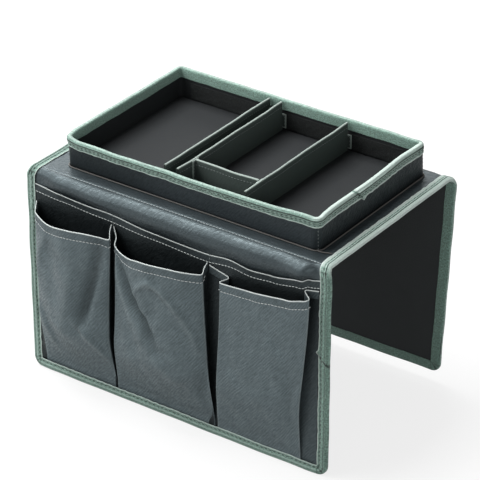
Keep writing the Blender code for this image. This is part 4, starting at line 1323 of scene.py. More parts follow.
POCKET_MAKE = PocketMake()
LEFT_POCKET = PocketCut(
    "pocket_left", (-0.1963, -0.0862), (0.057, 1.061), (0.066, 1.012), (0.01196, 0.0130), 0.0150,
    (0.0411, 0.0374),
    ((0.0, 0.0484), (0.25, 0.0523), (0.54, 0.0477), (0.77, 0.0463), (1.0, 0.0497)),
    (
        ((0.24, 0.96), (0.30, 0.55), 0.0030, 0.0115),
        ((0.72, 0.92), (0.66, 0.50), 0.0024, 0.0115),
        ((0.06, 0.42), (0.46, 0.05), 0.0039, 0.0115),
    ),
    crumples=(
        (((0.90, 0.96), (0.817, 0.733), (0.725, 0.527), (0.697, 0.463), (0.66, 0.36)), -0.0062, 0.0080),
        (((0.60, 0.43), (0.642, 0.399), (0.789, 0.316), (0.917, 0.217), (0.99, 0.14)), 0.0042, 0.0055),
        (((-0.02, 0.40), (0.156, 0.245), (0.239, 0.061)), 0.0034, 0.0060),
        (((0.20, 0.93), (0.092, 0.791), (0.02, 0.60)), 0.0034, 0.0065),
        (((0.55, 0.80), (0.50, 0.55), (0.42, 0.32)), 0.0024, 0.0100),
    ),
    waist=(0.0, -0.022),
    seed=21,
)
MIDDLE_POCKET = PocketCut(
    "pocket_middle", (-0.0838, 0.0478), (0.068, 1.013), (0.003, 1.082), (0.0130, 0.01196), 0.0160,
    (0.0390, 0.0426),
    ((0.0, 0.0546), (0.08, 0.0577), (0.23, 0.0572), (0.46, 0.0535), (0.68, 0.0520), (1.0, 0.0525)),
    (
        ((0.05, 0.97), (0.34, 0.30), 0.0045, 0.0115),
        ((0.58, 0.95), (0.50, 0.62), 0.0030, 0.0115),
        ((0.95, 0.30), (0.60, 0.06), 0.0030, 0.0115),
    ),
    crumples=(
        (
            (
                (0.05, 0.93), (0.174, 0.794), (0.284, 0.677), (0.376, 0.606), (0.45, 0.53),
                (0.52, 0.45),
            ),
            -0.0062,
            0.0072,
        ),
        (((0.0, 0.90), (0.08, 0.76), (0.19, 0.62), (0.30, 0.50)), 0.0030, 0.0075),
        (
            (
                (0.29, 0.78), (0.321, 0.821), (0.404, 0.86), (0.468, 0.873), (0.523, 0.864),
                (0.606, 0.838), (0.716, 0.779), (0.817, 0.697), (0.881, 0.616), (0.95, 0.48),
            ),
            0.0038,
            0.0048,
        ),
        (((0.45, 0.42), (0.62, 0.30), (0.80, 0.22)), 0.0016, 0.0090),
        (((0.97, 0.36), (0.90, 0.20), (0.97, 0.05)), -0.0030, 0.0070),
    ),
    tuck_in=(0.0042, 0.0015),
    lap=(0.0, 0.0017),
    waist=(0.022, 0.0),
    seed=22,
)
RIGHT_POCKET = PocketCut(
    "pocket_right", (0.0502, 0.1963), (0.132, 0.965), (0.080, 0.858), (0.01105, 0.01053), 0.00304,
    (0.0447, 0.0291),
    ((0.0, 0.0556), (0.31, 0.0520), (0.76, 0.0465), (0.95, 0.0411), (1.0, 0.0369)),
    (
        ((0.10, 0.90), (0.16, 0.30), 0.0012, 0.0115),
        ((0.80, 0.70), (0.90, 0.20), 0.0012, 0.0115),
    ),
    crumples=(
        (((0.0, 0.30), (0.20, 0.20), (0.45, 0.03)), 0.0010, 0.0070),
        (((1.0, 0.55), (0.86, 0.40), (0.92, 0.15)), -0.0012, 0.0080),
    ),
    pleats=((0.190, 0.880), (0.178, 0.800)),
    seed=23,
)


@dataclass
class Pocket(SewnPart):
    """A pleated pocket: two gussets and a face that swells out from its foot, with a turned hem."""

    cut: PocketCut
    drape: Drape = FRONT_DRAPE

    @property
    def width(self) -> float:
        """Distance between the pocket's two seams."""
        return self.cut.seams[1] - self.cut.seams[0]

    @property
    def depth(self) -> float:
        """The face's usual height."""
        return POCKET_MAKE.foot_depth - POCKET_MAKE.mouth_depth

    def gusset(self, side: int, share: float, swelling: float) -> list[Pair]:
        """One gusset's corners from its seam to the face's edge, as x and distance off the base.

        Args:
            side: 0 for the left gusset, 1 for the right one.
            share: height in the pocket, 0 at the foot and 1 at the mouth.
            swelling: how far the pocket has opened at that height.

        Returns:
            The corners, seam first.
        """
        cut, make = self.cut, POCKET_MAKE
        seam = cut.seams[side]
        low, high = (cut.seams[0] + s[side] * self.width for s in (cut.foot, cut.mouth))
        face_x = low + (high - low) * step(share)
        face_x += cut.waist[side] * self.width * math.sin(math.pi * share) ** 1.5
        layers = 0 if cut.pleats is None else 2
        flat = make.seat + layers * make.pleat_pitch + cut.lap[side]
        stand = flat + (cut.stand[side] - flat) * swelling
        if cut.pleats is None:
            near_mouth = step((share - 0.6) / 0.4)
            fold_in = (1 - 2 * side) * cut.tuck_in[side] * swelling * near_mouth
            middle = ((seam + face_x) / 2 + fold_in, (make.seat + stand) / 2)
            return [(seam, make.seat), middle, (face_x, stand)]
        inward = 1 if side == 0 else -1
        at_mouth, at_foot = cut.pleats[0][side], cut.pleats[1][side]
        fold = cut.seams[0] + (at_foot + (at_mouth - at_foot) * share) * self.width
        turn = make.pleat_pitch / 2
        back = make.seat + make.pleat_pitch
        edge = stand - turn * (1 - swelling / 2)
        return [
            (seam, make.seat),
            (fold, make.seat),
            (fold + inward * turn, make.seat + turn),
            (fold, back),
            (face_x, edge - turn),
            (face_x - inward * turn, edge),
            (face_x + inward * turn * swelling, stand),
        ]

    def dent(self, across: Array, share: float) -> Array:
        """Depth of the soft creases across the face at one height."""
        here = np.stack([across * self.width, np.full_like(across, share * self.depth)], -1)
        total = np.zeros_like(across)
        for start, finish, depth, spread in self.cut.creases:
            total += depth * self.near_line(here, np.array((start, finish)), spread, 0.1)
        for line, height, spread in self.cut.crumples:
            strength = 1.15 if height > 0 else 1.5
            total -= strength * height * self.near_line(here, np.array(line), spread)
        return total

    def painted_lighting(self, across: Array, share: float) -> Array:
        """Painted highlight along the ridges of the folds and painted shade in their valleys."""
        here = np.stack([across * self.width, np.full_like(across, share * self.depth)], -1)
        total = np.zeros_like(across)
        for line, height, spread in self.cut.crumples:
            if height > 0:
                total += 36.0 * height * self.near_line(here, np.array(line), 0.45 * spread)
            else:
                total += 92.0 * height * self.near_line(here, np.array(line), 0.8 * spread)
        return total

    def near_line(self, here: Array, line: Array, spread: float, cut: float = 0.12) -> Array:
        """How near points are to a line, 1 on it, fading towards its two ends.

        Args:
            here: the points, in metres across and up.
            line: the line's corners, in shares of the pocket's width and height.
            spread: the width of its influence, in metres.
            cut: how much of the fade is cut off at each end, so that the ends still show.

        Returns:
            One value for each point.
        """
        line = line * np.array([self.width, self.depth])
        nearest = np.full(len(here), 1e9)
        place = np.zeros(len(here))
        for number, (a, b) in enumerate(zip(line, line[1:])):
            t = np.clip((here - a) @ (b - a) / ((b - a) @ (b - a)), 0.0, 1.0)
            away = np.linalg.norm(here - a - t[:, None] * (b - a), axis=1)
            place = np.where(away < nearest, (number + t) / (len(line) - 1), place)
            nearest = np.minimum(nearest, away)
        return bell(nearest, spread) * np.sin(math.pi * (cut + (1.0 - 2.0 * cut) * place))

    def section(self, share: float, faces: int, folds: int) -> Array:
        """The pocket's section at one height, as x and distance off the base."""
        swelling = step(share * self.depth / POCKET_MAKE.swell_height)
        left = resample(self.gusset(0, share, swelling), folds)
        right = resample(self.gusset(1, share, swelling), folds)
        across = np.linspace(0.0, 1.0, faces)
        flat = left[-1][1] + (right[-1][1] - left[-1][1]) * across
        crown = self.cut.swell * swelling * np.sin(math.pi * across) ** 0.8
        crumple = 0.0006 * ripple(across * self.width, share * self.depth, 0.03, self.cut.seed)
        pillow = np.sin(math.pi * across) ** 0.5
        stand = flat + crown - (self.dent(across, share) - crumple * pillow) * swelling
        stand = np.maximum(stand, 0.6 * flat)
        x = left[-1][0] + (right[-1][0] - left[-1][0]) * across
        middle = np.stack([x, stand], 1)[1:-1]
        line = np.concatenate([left, middle, right[::-1]])
        if self.cut.pleats is None:
            return softened(line, 6)
        return line + (softened(line, 9) - line) * swelling

    def make(self) -> None:
        """Builds the pocket, sews its hem and puts it on the flap."""
        cut, make = self.cut, POCKET_MAKE
        faces, folds = (96, 34) if cut.pleats is not None else (120, 15)
        near_hem, below = np.arange(0.0, 0.0145, 0.0009), np.linspace(0.016, self.depth, 104)
        drops = np.concatenate([near_hem, below])
        across = np.linspace(0.0, 1.0, faces)
        face_depth = table_value(cut.mouth_depths, across)
        steps = np.linspace(0.0, 1.0, folds)
        left = cut.seam_depths[0] + (face_depth[0] - cut.seam_depths[0]) * steps
        right = cut.seam_depths[1] + (face_depth[-1] - cut.seam_depths[1]) * steps
        mouth = np.concatenate([left, face_depth[1:-1], right[::-1]])
        mouth = softened(mouth[:, None], 8)[:, 0]
        rows, drop_rows = [], []
        painted_fold_lighting = np.zeros((len(drops) + 1, len(mouth)))
        for number, drop in enumerate(drops):
            share = 1.0 - drop / drops[-1]
            painted_fold_lighting[number, folds - 1:folds - 1 + faces] = self.painted_lighting(across, share)
            line = self.section(share, faces, folds)
            tall = make.foot_depth - mouth
            here = drop * (1 + (tall / drops[-1] - 1) * step(drop / drops[-1]))
            depth = mouth + here
            hem = 0.00045 * ease((make.hem + 0.0005 - here) / 0.001)
            groove = -0.00025 * bell(here - make.hem, 0.0007)
            press = 0.45 if cut.pleats is None else 0.22
            pressed = 1.0 - press * ease((here - tall + 0.018) / 0.013)
            stand = make.slip_stand + line[:, 1] * pressed + hem + groove
            rows.append(self.drape.at(line[:, 0], self.drape.s_of_depth(depth), stand))
            drop_rows.append(here)
        last = rows[-1] + np.array([0.0, 0.0, -make.tuck])
        rows.append(last)
        drop_rows.append(drop_rows[-1] + make.tuck)
        face, here = np.array(rows), np.array(drop_rows)
        run = np.linalg.norm(np.diff(face, axis=1), axis=2)
        u = np.concatenate([np.zeros((len(face), 1)), np.cumsum(run, 1)], 1)
        u = u - u[:, u.shape[1] // 2][:, None]
        uv = np.stack([u + cut.seams[0], -here], 2)
        off = grid_normals(face)
        outward = np.sign(np.einsum("ijk,k->ij", off, [0.0, -1.0, 0.0]).mean())
        back = face - outward * make.cloth * off
        shade = self.shade(here, faces, folds) + painted_fold_lighting
        thing = closed_sheet(cut.name + "_cloth", face, back, uv, here, shade)
        settle(thing, self.finishes.pocket, cut.name, self.drape.flap)
        row = int(np.argmin(np.abs(drops - make.hem)))
        margin = folds // 2 if cut.pleats is None else folds - 2
        stitches = slice(margin, len(mouth) - margin)
        line, outer = face[row, stitches], outward * off[row, stitches]
        self.seams.add(self.drape.flap, Thread.HEM, line, outer)

    def shade(self, here: Array, faces: int, folds: int) -> Array:
        """Darker hem, painted shade in the hem's groove, at the foot and deep in the gussets, lighter
        face edges.

        Args:
            here: distance from the mouth, rows by columns.
            faces: number of columns across the face; not used.
            folds: number of columns across each gusset.

        Returns:
            The shade mark of every point.
        """
        share = here / here.max()
        hem = ease((POCKET_MAKE.hem - here) / 0.0006)
        # A darker hem band, with painted shade in the groove of its stitches.
        shade = -0.20 * hem - 0.30 * bell(here - POCKET_MAKE.hem, 0.0005)
        # Painted shade towards the foot.
        shade = shade - 0.05 * ease((share - 0.75) / 0.25)
        column = np.arange(here.shape[1])
        left, right = column / (folds - 1), (len(column) - 1 - column) / (folds - 1)
        # Painted shade over the gussets, from the seams to near the face's edges.
        painted_recess_shade = 1.0 - ease((np.minimum(left, right) - 0.78) / 0.18)
        fade = 1.0 - 0.6 * share * (right < 1.0) * (self.cut.pleats is not None)
        shade = shade - 0.96 * painted_recess_shade[None] * fade * (1.0 - 0.55 * hem)
        # Lighter lines along the face's two edges.
        edge = bell((left - 1.0) * folds, 1.1) + bell((right - 1.0) * folds, 1.1)
        return shade + 0.34 * edge[None] * (1.0 - 0.4 * share)


def resample(corners: list[Pair], count: int) -> Array:
    """Evenly spaced points on a line through corners."""
    line = np.array(corners)
    run = np.concatenate([[0.0], np.cumsum(np.linalg.norm(np.diff(line, axis=0), axis=1))])
    places = np.linspace(0.0, run[-1], count)
    return np.stack([np.interp(places, run, line[:, k]) for k in (0, 1)], 1)


def softened(line: Array, times: int) -> Array:
    """Rounds a line's corners and keeps its two ends."""
    for _ in range(times):
        inner = (line[:-2] + 2 * line[1:-1] + line[2:]) / 4
        line = np.concatenate([line[:1], inner, line[-1:]])
    return line


@dataclass
class SlipPocket(SewnPart):
    """The flat sheet behind the three pockets, whose hemmed upper edge gapes a little."""

    edge_depths: Table = (
        (-0.210, 0.0185), (-0.161, 0.0215), (-0.103, 0.0244), (-0.032, 0.0290), (0.045, 0.0324),
        (0.078, 0.0292), (0.106, 0.0320), (0.136, 0.0296), (0.172, 0.0247), (0.184, 0.0190),
        (0.200, 0.0160),
    )
    hem: float = 0.0100
    cloth: float = 0.0006
    gape: float = 0.0028
    gape_depth: float = 0.012
    seam_places: Pair = (-0.085, 0.049)
    drape: Drape = FRONT_DRAPE
    columns: int = 240

    def make(self) -> None:
        """Builds the sheet and sews its hem."""
        half = PANEL.flap_half - PANEL.stand_off
        low = self.drape.end - PANEL.stand_off
        r = PANEL.corner - PANEL.stand_off
        across = np.linspace(-half, half, self.columns)
        top = self.drape.s_of_depth(table_value(self.edge_depths, across))
        close, far = np.linspace(0.015, 0.05, 12), np.linspace(0.06, 1.0, 20)
        drops = np.concatenate([np.arange(0.0, 0.0130, 0.0008), close, far])
        rows, here_rows, uv_rows = [], [], []
        for drop in drops:
            tall = low - top
            s = top + drop if drop <= 0.05 else top + 0.05 + (tall - 0.05) * (drop - 0.05) / 0.95
            into = np.clip(s - (low - r), 0.0, r)
            x = np.linspace(-1.0, 1.0, self.columns) * (half - r + np.sqrt(r * r - into * into))
            edges = (-0.1975, *self.seam_places, 0.1975)
            lift = np.zeros_like(x)
            for a, b in zip(edges, edges[1:]):
                inside = np.clip((x - a) / (b - a), 0.0, 1.0)
                lift += np.sin(math.pi * inside) ** 2 * (inside > 0) * (inside < 1)
            here = s - top
            stand = self.gape * lift * np.clip(1 - here / self.gape_depth, 0.0, 1.0) ** 2
            stand += 0.0009 + 0.0003 * ease((self.hem - here) / 0.001) * (np.abs(x) < 0.197)
            rows.append(self.drape.at(x, s, stand))
            here_rows.append(here)
            uv_rows.append(np.stack([x, -s], 1))
        face, here, uv = np.array(rows), np.array(here_rows), np.array(uv_rows)
        # Painted shade over the whole sheet, which lies behind the pockets, deepest below the hem.
        shade = -0.80 - 0.17 * ease((here - self.hem) / 0.0008)
        name, inward = "slip_pocket_cloth", -self.drape.side
        thing = sheet_over(name, face, self.cloth, uv, inward, edge=here, shade=shade)
        settle(thing, self.finishes.pocket, "slip_pocket", self.drape.flap)
        row = int(np.argmin(np.abs(drops - self.hem)))
        off = self.drape.off(np.full(self.columns, self.drape.end))
        self.seams.add(self.drape.flap, Thread.HEM, face[row, 8:-8], off[8:-8])
        for x in self.seam_places:
            self.seam(x, face, row)

    def seam(self, x: float, face: Array, row: int) -> None:
        """The short upright seam that goes up through the hem at one side of a pocket."""
        column = int(np.argmin(np.abs(face[0, :, 0] - x)))
        points = face[1:row + 8:2, column]
        off = np.tile([0.0, -1.0, 0.0], (len(points), 1))
        self.seams.add(self.drape.flap, Thread.DARK, points, off)


# Tray and dividers
@dataclass(frozen=True)
class TraySizes:
    """The tray's outer skin and walls, in metres."""

    low: Pair = (-0.171, -0.105)
    high: Pair = (0.177, 0.114)
    height: float = 0.042
    corner: float = 0.008
    skin: float = 0.0009
    lining_out: float = 0.0035
    lining_in: float = 0.0041
    floor_top: float = 0.0077
    rim_tape: float = 0.0125
    front_bow: float = 0.0046
    front_sag: float = 0.0036
    right_bow: float = 0.0048


TRAY = TraySizes()
FRONT_BOW = (
    (-0.171, 0.5), (-0.150, 1.0), (-0.100, 1.1), (-0.030, 0.85), (0.010, 1.0), (0.100, 0.8),
    (0.165, 0.3),
)
RIGHT_BOW = (
    (-0.105, 0.0), (-0.070, 0.40), (-0.030, 0.35), (0.010, 0.30), (0.050, 0.7), (0.080, 0.8),
    (0.114, 0.4),
)


def tray_bow(points: Array) -> Array:
    """Bends the tray's walls as use does: the front sags and bows out, the right leans in."""
    x, y = points[..., 0], points[..., 1]
    height = np.clip((points[..., 2] - PANEL.top_z) / TRAY.height, 0.0, 1.1)
    front = ease((TRAY.low[1] + 0.016 - y) / 0.010) * table_value(FRONT_BOW, x)
    right = ease((x - TRAY.high[0] + 0.016) / 0.010) * table_value(RIGHT_BOW, y)
    moved = points.copy()
    moved[..., 0] -= TRAY.right_bow * right * height**1.5
    moved[..., 1] -= TRAY.front_bow * front * height**1.5
    moved[..., 2] -= TRAY.front_sag * front * height
    return moved


def tray_ring(inset: float, count: int = 360) -> tuple[Array, Array, Array]:
    """Evenly spaced points round the tray.

    Args:
        inset: distance in from the outer skin.
        count: how many points.

    Returns:
        The points in XY, the unit directions outwards, and the distances round.
    """
    r = max(TRAY.corner - inset, 0.0006)
    x0, y0 = TRAY.low[0] + inset, TRAY.low[1] + inset
    x1, y1 = TRAY.high[0] - inset, TRAY.high[1] - inset
    right, left, front, rear = x1 - r, x0 + r, y0 + r, y1 - r
    corners = ((right, front, -0.25), (right, rear, 0.0), (left, rear, 0.25), (left, front, 0.5))
    points = []
    for cx, cy, share in corners:
        for turn in np.linspace(0.0, 0.25, 9):
            angle = math.tau * (share + turn)
            points.append((cx + r * math.cos(angle), cy + r * math.sin(angle)))
    line = np.array(points + points[:1])
    run = np.concatenate([[0.0], np.cumsum(np.linalg.norm(np.diff(line, axis=0), axis=1))])
    places = np.linspace(0.0, run[-1], count, endpoint=False)
    ring = np.stack([np.interp(places, run, line[:, k]) for k in (0, 1)], 1)
    along = np.roll(ring, -1, 0) - np.roll(ring, 1, 0)
    out = np.stack([along[:, 1], -along[:, 0]], 1)
    return ring, out / np.linalg.norm(out, axis=1, keepdims=True), places


@dataclass
class Tray(SewnPart):
    """The open tray that is sewn on the saddle, with sizes that only its own pieces use."""

    base: float = PANEL.top_z + 0.0003
    top: float = PANEL.top_z + TRAY.height
    wall_cut: float = 0.0408
    floor_inset: float = 0.0044
    floor_cloth: float = 0.0006
    piping_out: float = 0.0013
    piping_widths: Pair = (0.0016, 0.0014)
    rim_grooves: tuple[float, ...] = (0.0040, 0.0067, 0.0095)
    rim_overlap: float = 0.0896

    def wall(
        self, name: str, inset: float, thickness: float, finish: Material, slot: str, seed: int
    ) -> None:
        """One cloth wall round the tray, a little uneven between its corners.

        Args:
            name: the piece's name.
            inset: distance in from the outer skin, 0 for the skin itself.
            thickness: its thickness, away from its shown side.
            finish: its material.
            slot: the record's slot; not used.
            seed: picks how uneven it is.
        """
        outer = inset == 0.0
        ring, out, run = tray_ring(inset)
        levels = np.linspace(self.base, self.top - 0.0009, 26)
        waver = 0.00025 * ripple(run[None], levels[:, None] * 2, 0.07, seed)
        fade = np.sin(math.pi * np.linspace(0.02, 0.98, 26))[:, None]
        swell = (waver - 0.0001) * fade
        face_xy = ring[None] + out[None] * (swell if outer else -swell)[..., None]
        height = np.broadcast_to(levels[:, None], swell.shape)
        face = np.concatenate([face_xy, height[..., None]], 2)
        toward = np.concatenate([out, np.zeros((len(out), 1))], 1)[None]
        back = face - toward * thickness * (1 if outer else -1)
        face, back = tray_bow(face), tray_bow(back)
        uv = np.stack([np.broadcast_to(run[None], swell.shape), height], 2)
        # Painted shade at the wall's foot, and on the outer skin towards the left of the front and over
        # the right end.
        shade = -0.75 * bell(height - self.base, 0.0035)
        if outer:
            left = ease((0.02 - face[..., 0]) / 0.16)
            left = left * ease((TRAY.low[1] + 0.02 - face[..., 1]) / 0.01)
            right = ease((face[..., 0] - TRAY.high[0] + 0.01) / 0.008)
            shade = shade - 0.75 * left - 0.60 * right
        thing = closed_sheet(name, face, back, uv, shade=shade, wrap=True)
        settle(thing, finish, name.replace("_cloth", ""), ROOT)

    def corner_seams(self) -> None:
        """The upright seams at the tray's four corners."""
        r = TRAY.corner * 0.29
        for x, sx in ((TRAY.low[0], 1), (TRAY.high[0], -1)):
            for y, sy in ((TRAY.low[1], 1), (TRAY.high[1], -1)):
                z = np.linspace(self.base + 0.002, self.top - TRAY.rim_tape, 12)
                line = np.stack([np.full(12, x + sx * r), np.full(12, y + sy * r), z], 1)
                points = tray_bow(line)
                off = np.tile(np.array([-sx, -sy, 0.0]) / math.sqrt(2), (12, 1))
                self.seams.add(ROOT, Thread.DARK, points, off)

    def rim(self) -> None:
        """The tape folded over the rim."""
        ring, out, run = tray_ring(0.0, 760)
        edge = tray_bow(np.concatenate([ring, np.full((len(ring), 1), self.top)], 1))
        off = np.concatenate([out, np.zeros((len(out), 1))], 1)
        low = tray_bow(np.concatenate([ring, np.full((len(ring), 1), self.top - TRAY.rim_tape)], 1))
        path = TapePath(edge, low - edge, off, run, 71, self.rim_grooves)
        path.body_thickness, path.closed, path.overlap = TRAY.lining_in, True, self.rim_overlap
        # Painted light on the right end's tape, a painted highlight on the crest, and painted shade in
        # the pinches at the rear right corner.
        right = ease((ring[:, 0] - TRAY.high[0] + 0.012) / 0.010)
        right = right * (ring[:, 1] < TRAY.high[1] - 0.004)
        corner = run[int(np.argmax(ring[:, 0] + ring[:, 1]))]
        path.painted_brightness, path.painted_crest_highlight = 0.03 + 0.42 * right, 0.22
        pinches = ((-0.0105, 0.5), (-0.0045, 0.9), (0.0015, 0.7))
        path.dark = sum(weight * bell(run - corner - place, 0.0014) for place, weight in pinches)
        thing, leg = make_tape("tray_rim_tape", path, self.finishes.tape, TRAY.rim_tape)
        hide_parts("tray_rim_binding")
        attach(thing, ROOT)
        sew_tape(self.seams, ROOT, path, leg)

    def bent_board(self, end: str) -> None:
        """The card of a wall that use has bent."""
        low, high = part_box(f"tray_{end}_board")
        if end == "front":
            w, z = np.meshgrid(np.linspace(low.x, high.x, 80), np.linspace(low.z, high.z, 12))
            face, back = (np.stack([w, np.full_like(w, y), z], 2) for y in (low.y, high.y))
        else:
            w, z = np.meshgrid(np.linspace(low.y, high.y, 60), np.linspace(low.z, high.z, 12))
            face, back = (np.stack([np.full_like(w, x), w, z], 2) for x in (high.x, low.x))
        uv = np.stack([w, z], 2)
        thing = closed_sheet(f"tray_{end}_card", tray_bow(face), tray_bow(back), uv)
        settle(thing, self.finishes.card, f"tray_{end}_board", ROOT)

    def floor(self) -> None:
        """The floor's lining."""
        inset = self.floor_inset
        x0, y0 = TRAY.low[0] + inset, TRAY.low[1] + inset
        x1, y1 = TRAY.high[0] - inset, TRAY.high[1] - inset
        x, y = np.meshgrid(np.linspace(x0, x1, 90), np.linspace(y0, y1, 60))
        r = TRAY.corner - inset
        into = np.clip(np.maximum(y0 + r - y, y - y1 + r), 0.0, r)
        middle, half = (x0 + x1) / 2, (x1 - x0) / 2
        x = middle + (x - middle) / half * (half - r + np.sqrt(r * r - into * into))
        lift = 0.0001 * ripple(x, y, 0.05, 17)
        face = np.stack([x, y, TRAY.floor_top + lift], 2)
        thing = sheet_over("tray_floor_lining_cloth", face, self.floor_cloth, np.stack([x, y], 2))
        settle(thing, self.finishes.lining, "tray_floor_lining", ROOT)

    def piping(self) -> None:
        """The cord in the seam round the tray's foot, with a loose end at one corner."""
        tree = piping_tree()
        ring, _, _ = tray_ring(-self.piping_out, 300)
        z = PANEL.top_z + 0.0010
        start = int(np.argmax(ring[:, 0] - ring[:, 1]))
        ring = np.roll(ring, -start, 0)
        path = np.concatenate([ring, np.full((len(ring), 1), z)], 1)
        t = np.linspace(0.0, 1.0, 12)
        tail = path[0] + np.stack([0.015 * t, -0.001 + 0.004 * t * t, 0.0002 * np.sin(3 * t)], 1)
        mesh = path_mesh("tray_base_piping", [(path, np.zeros_like(path))], closed=True)
        values = {"Cord diameter": self.piping_widths[0], "Cord finish": self.finishes.piping}
        thing = tree.grow("tray_base_piping", mesh, values)
        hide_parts("tray_base_welt")
        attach(thing, ROOT)
        mesh = path_mesh("tray_base_piping_end", [(tail, np.zeros_like(tail))])
        values["Cord diameter"] = self.piping_widths[1]
        loose = tree.grow("tray_base_piping_end", mesh, values)
        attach(loose, ROOT)

    def loop_strips(self) -> None:
        """The loop strips on the front and rear walls."""
        for end in ("front", "rear"):
            low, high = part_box(f"loop_strip_{end}")
            shown = high.y if end == "front" else low.y
            hidden = low.y if end == "front" else high.y
            x, z = np.meshgrid(np.linspace(low.x, high.x, 160), np.linspace(low.z, high.z, 12))
            bow = 0.00015 * ripple(x, z, 0.01, 9) * (1 if end == "front" else -1)
            face = np.stack([x, shown + bow, z], 2)
            back = np.stack([x, np.full_like(x, hidden), z], 2)
            name, uv = f"loop_strip_{end}_pile", np.stack([x, z], 2)
            thing = closed_sheet(name, tray_bow(face), tray_bow(back), uv)
            settle(thing, self.finishes.hook, f"loop_strip_{end}", ROOT)

    def make(self) -> None:
        """Builds the whole tray."""
        self.wall("tray_skin_cloth", 0.0, TRAY.skin, self.finishes.tray, "tray_leatherette", 61)
        inset, thick = TRAY.lining_in, TRAY.lining_in - TRAY.lining_out
        self.wall("tray_lining_cloth", inset, thick, self.finishes.lining, "lining_cloth", 62)
        self.floor()
        self.bent_board("front")
        self.bent_board("right")
        self.rim()
        self.piping()
        self.loop_strips()
        self.corner_seams()


@dataclass
class Divider(SewnPart):
    """A lift-out divider: a folded sleeve over a card core, with hook tabs at its ends."""

    body: str
    tabs: tuple[str, str]
    cloth: float = 0.0005
    sway: float = 0.0005
    wave: float = 0.0003
    tab_seam: float = 0.0018
    seam_row: int = 11

    def __post_init__(self) -> None:
        """Reads the sleeve's box and which way it runs from the model."""
        low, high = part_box(self.body + "_sleeve")
        self.low, self.high = np.array(low), np.array(high)
        self.along = 1 if self.high[1] - self.low[1] > self.high[0] - self.low[0] else 0

    def sleeve(self) -> None:
        """The folded cloth, a little wavy along its top."""
        across = 1 - self.along
        middle = (self.low[across] + self.high[across]) / 2
        half = (self.high[across] - self.low[across]) / 2
        length = np.linspace(self.low[self.along], self.high[self.along], 120)
        top, foot = self.high[2], self.low[2]
        angles = np.linspace(0.0, math.pi, 9)
        side = np.linspace(foot, top - half, 14)
        line = [(half, z) for z in side]
        line += [(half * math.cos(a), top - half + half * math.sin(a)) for a in angles[1:-1]]
        line += [(-half, z) for z in side[::-1]]
        line = np.array(line)
        reach = half - self.cloth
        inner = np.array([(np.clip(w, -reach, reach), min(z, top - self.cloth)) for w, z in line])
        l, _ = np.meshgrid(length, line[:, 0])
        rise = ((line[:, 1] - foot) / (top - foot))[:, None]
        sway = self.sway * ripple(l, 0.0, 0.06, len(self.body)) * rise

        def spread(section: Array) -> Array:
            """Points of a section at every station of the length."""
            points = np.zeros(l.shape + (3,))
            points[..., self.along] = l
            points[..., across] = middle + section[:, :1] + sway
            height = section[:, 1:]
            points[..., 2] = height + self.wave * ripple(l, 0.0, 0.045, 77) * (height > foot + 0.01)
            return points

        down = np.concatenate([[0.0], np.cumsum(np.linalg.norm(np.diff(line, axis=0), axis=1))])
        uv = np.stack([l, np.broadcast_to(down[:, None], l.shape)], 2)
        edge = np.broadcast_to((top - line[:, 1])[:, None], l.shape)
        thing = closed_sheet(self.body + "_cloth", spread(line), spread(inner), uv, edge)
        settle(thing, self.finishes.divider, self.body + "_sleeve", self.body)
        for row, outward in ((self.seam_row, 1.0), (-1 - self.seam_row, -1.0)):
            points = spread(line)[row, 2:-2]
            off = np.zeros_like(points)
            off[:, across] = outward
            self.seams.add(self.body, Thread.DARK, points, off)

    def tab(self, name: str) -> None:
        """One hook tab, a thin pad with soft edges and a stitched border."""
        low, high = (np.array(v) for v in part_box(name))
        thin = int(np.argmin(high - low))
        wide = 1 - thin
        w, z = np.meshgrid(np.linspace(low[wide], high[wide], 12), np.linspace(low[2], high[2], 18))
        middle = (self.low[:2] + self.high[:2]) / 2
        sides = sorted((low[thin], high[thin]), key=lambda level: abs(level - middle[thin]))
        inner_side, outer_side = sides
        border = np.minimum.reduce([w - low[wide], high[wide] - w, z - low[2], high[2] - z])
        lift = 0.00025 * (1 - ease(border / 0.001)) * np.sign(outer_side - inner_side)
        face, back = np.zeros(w.shape + (3,)), np.zeros(w.shape + (3,))
        for points, level in ((face, inner_side + lift), (back, np.full_like(w, outer_side))):
            points[..., wide], points[..., 2], points[..., thin] = w, z, level
        thing = closed_sheet(name + "_pad", face, back, np.stack([w, z], 2), border)
        settle(thing, self.finishes.divider, name, self.body)
        keep = self.tab_seam
        square = [(low[wide] + keep, low[2] + keep), (high[wide] - keep, low[2] + keep)]
        square += [(high[wide] - keep, high[2] - keep), (low[wide] + keep, high[2] - keep)]
        loop = np.zeros((5, 3))
        for row, (a, b) in enumerate(square + square[:1]):
            loop[row, wide], loop[row, 2], loop[row, thin] = a, b, inner_side
        off = np.zeros((5, 3))
        off[:, thin] = np.sign(inner_side - outer_side)
        self.seams.add(self.body, Thread.DARK, loop, off)

    def make(self) -> None:
        """Builds the sleeve and both tabs."""
        self.sleeve()
        for name in self.tabs:
            self.tab(name)


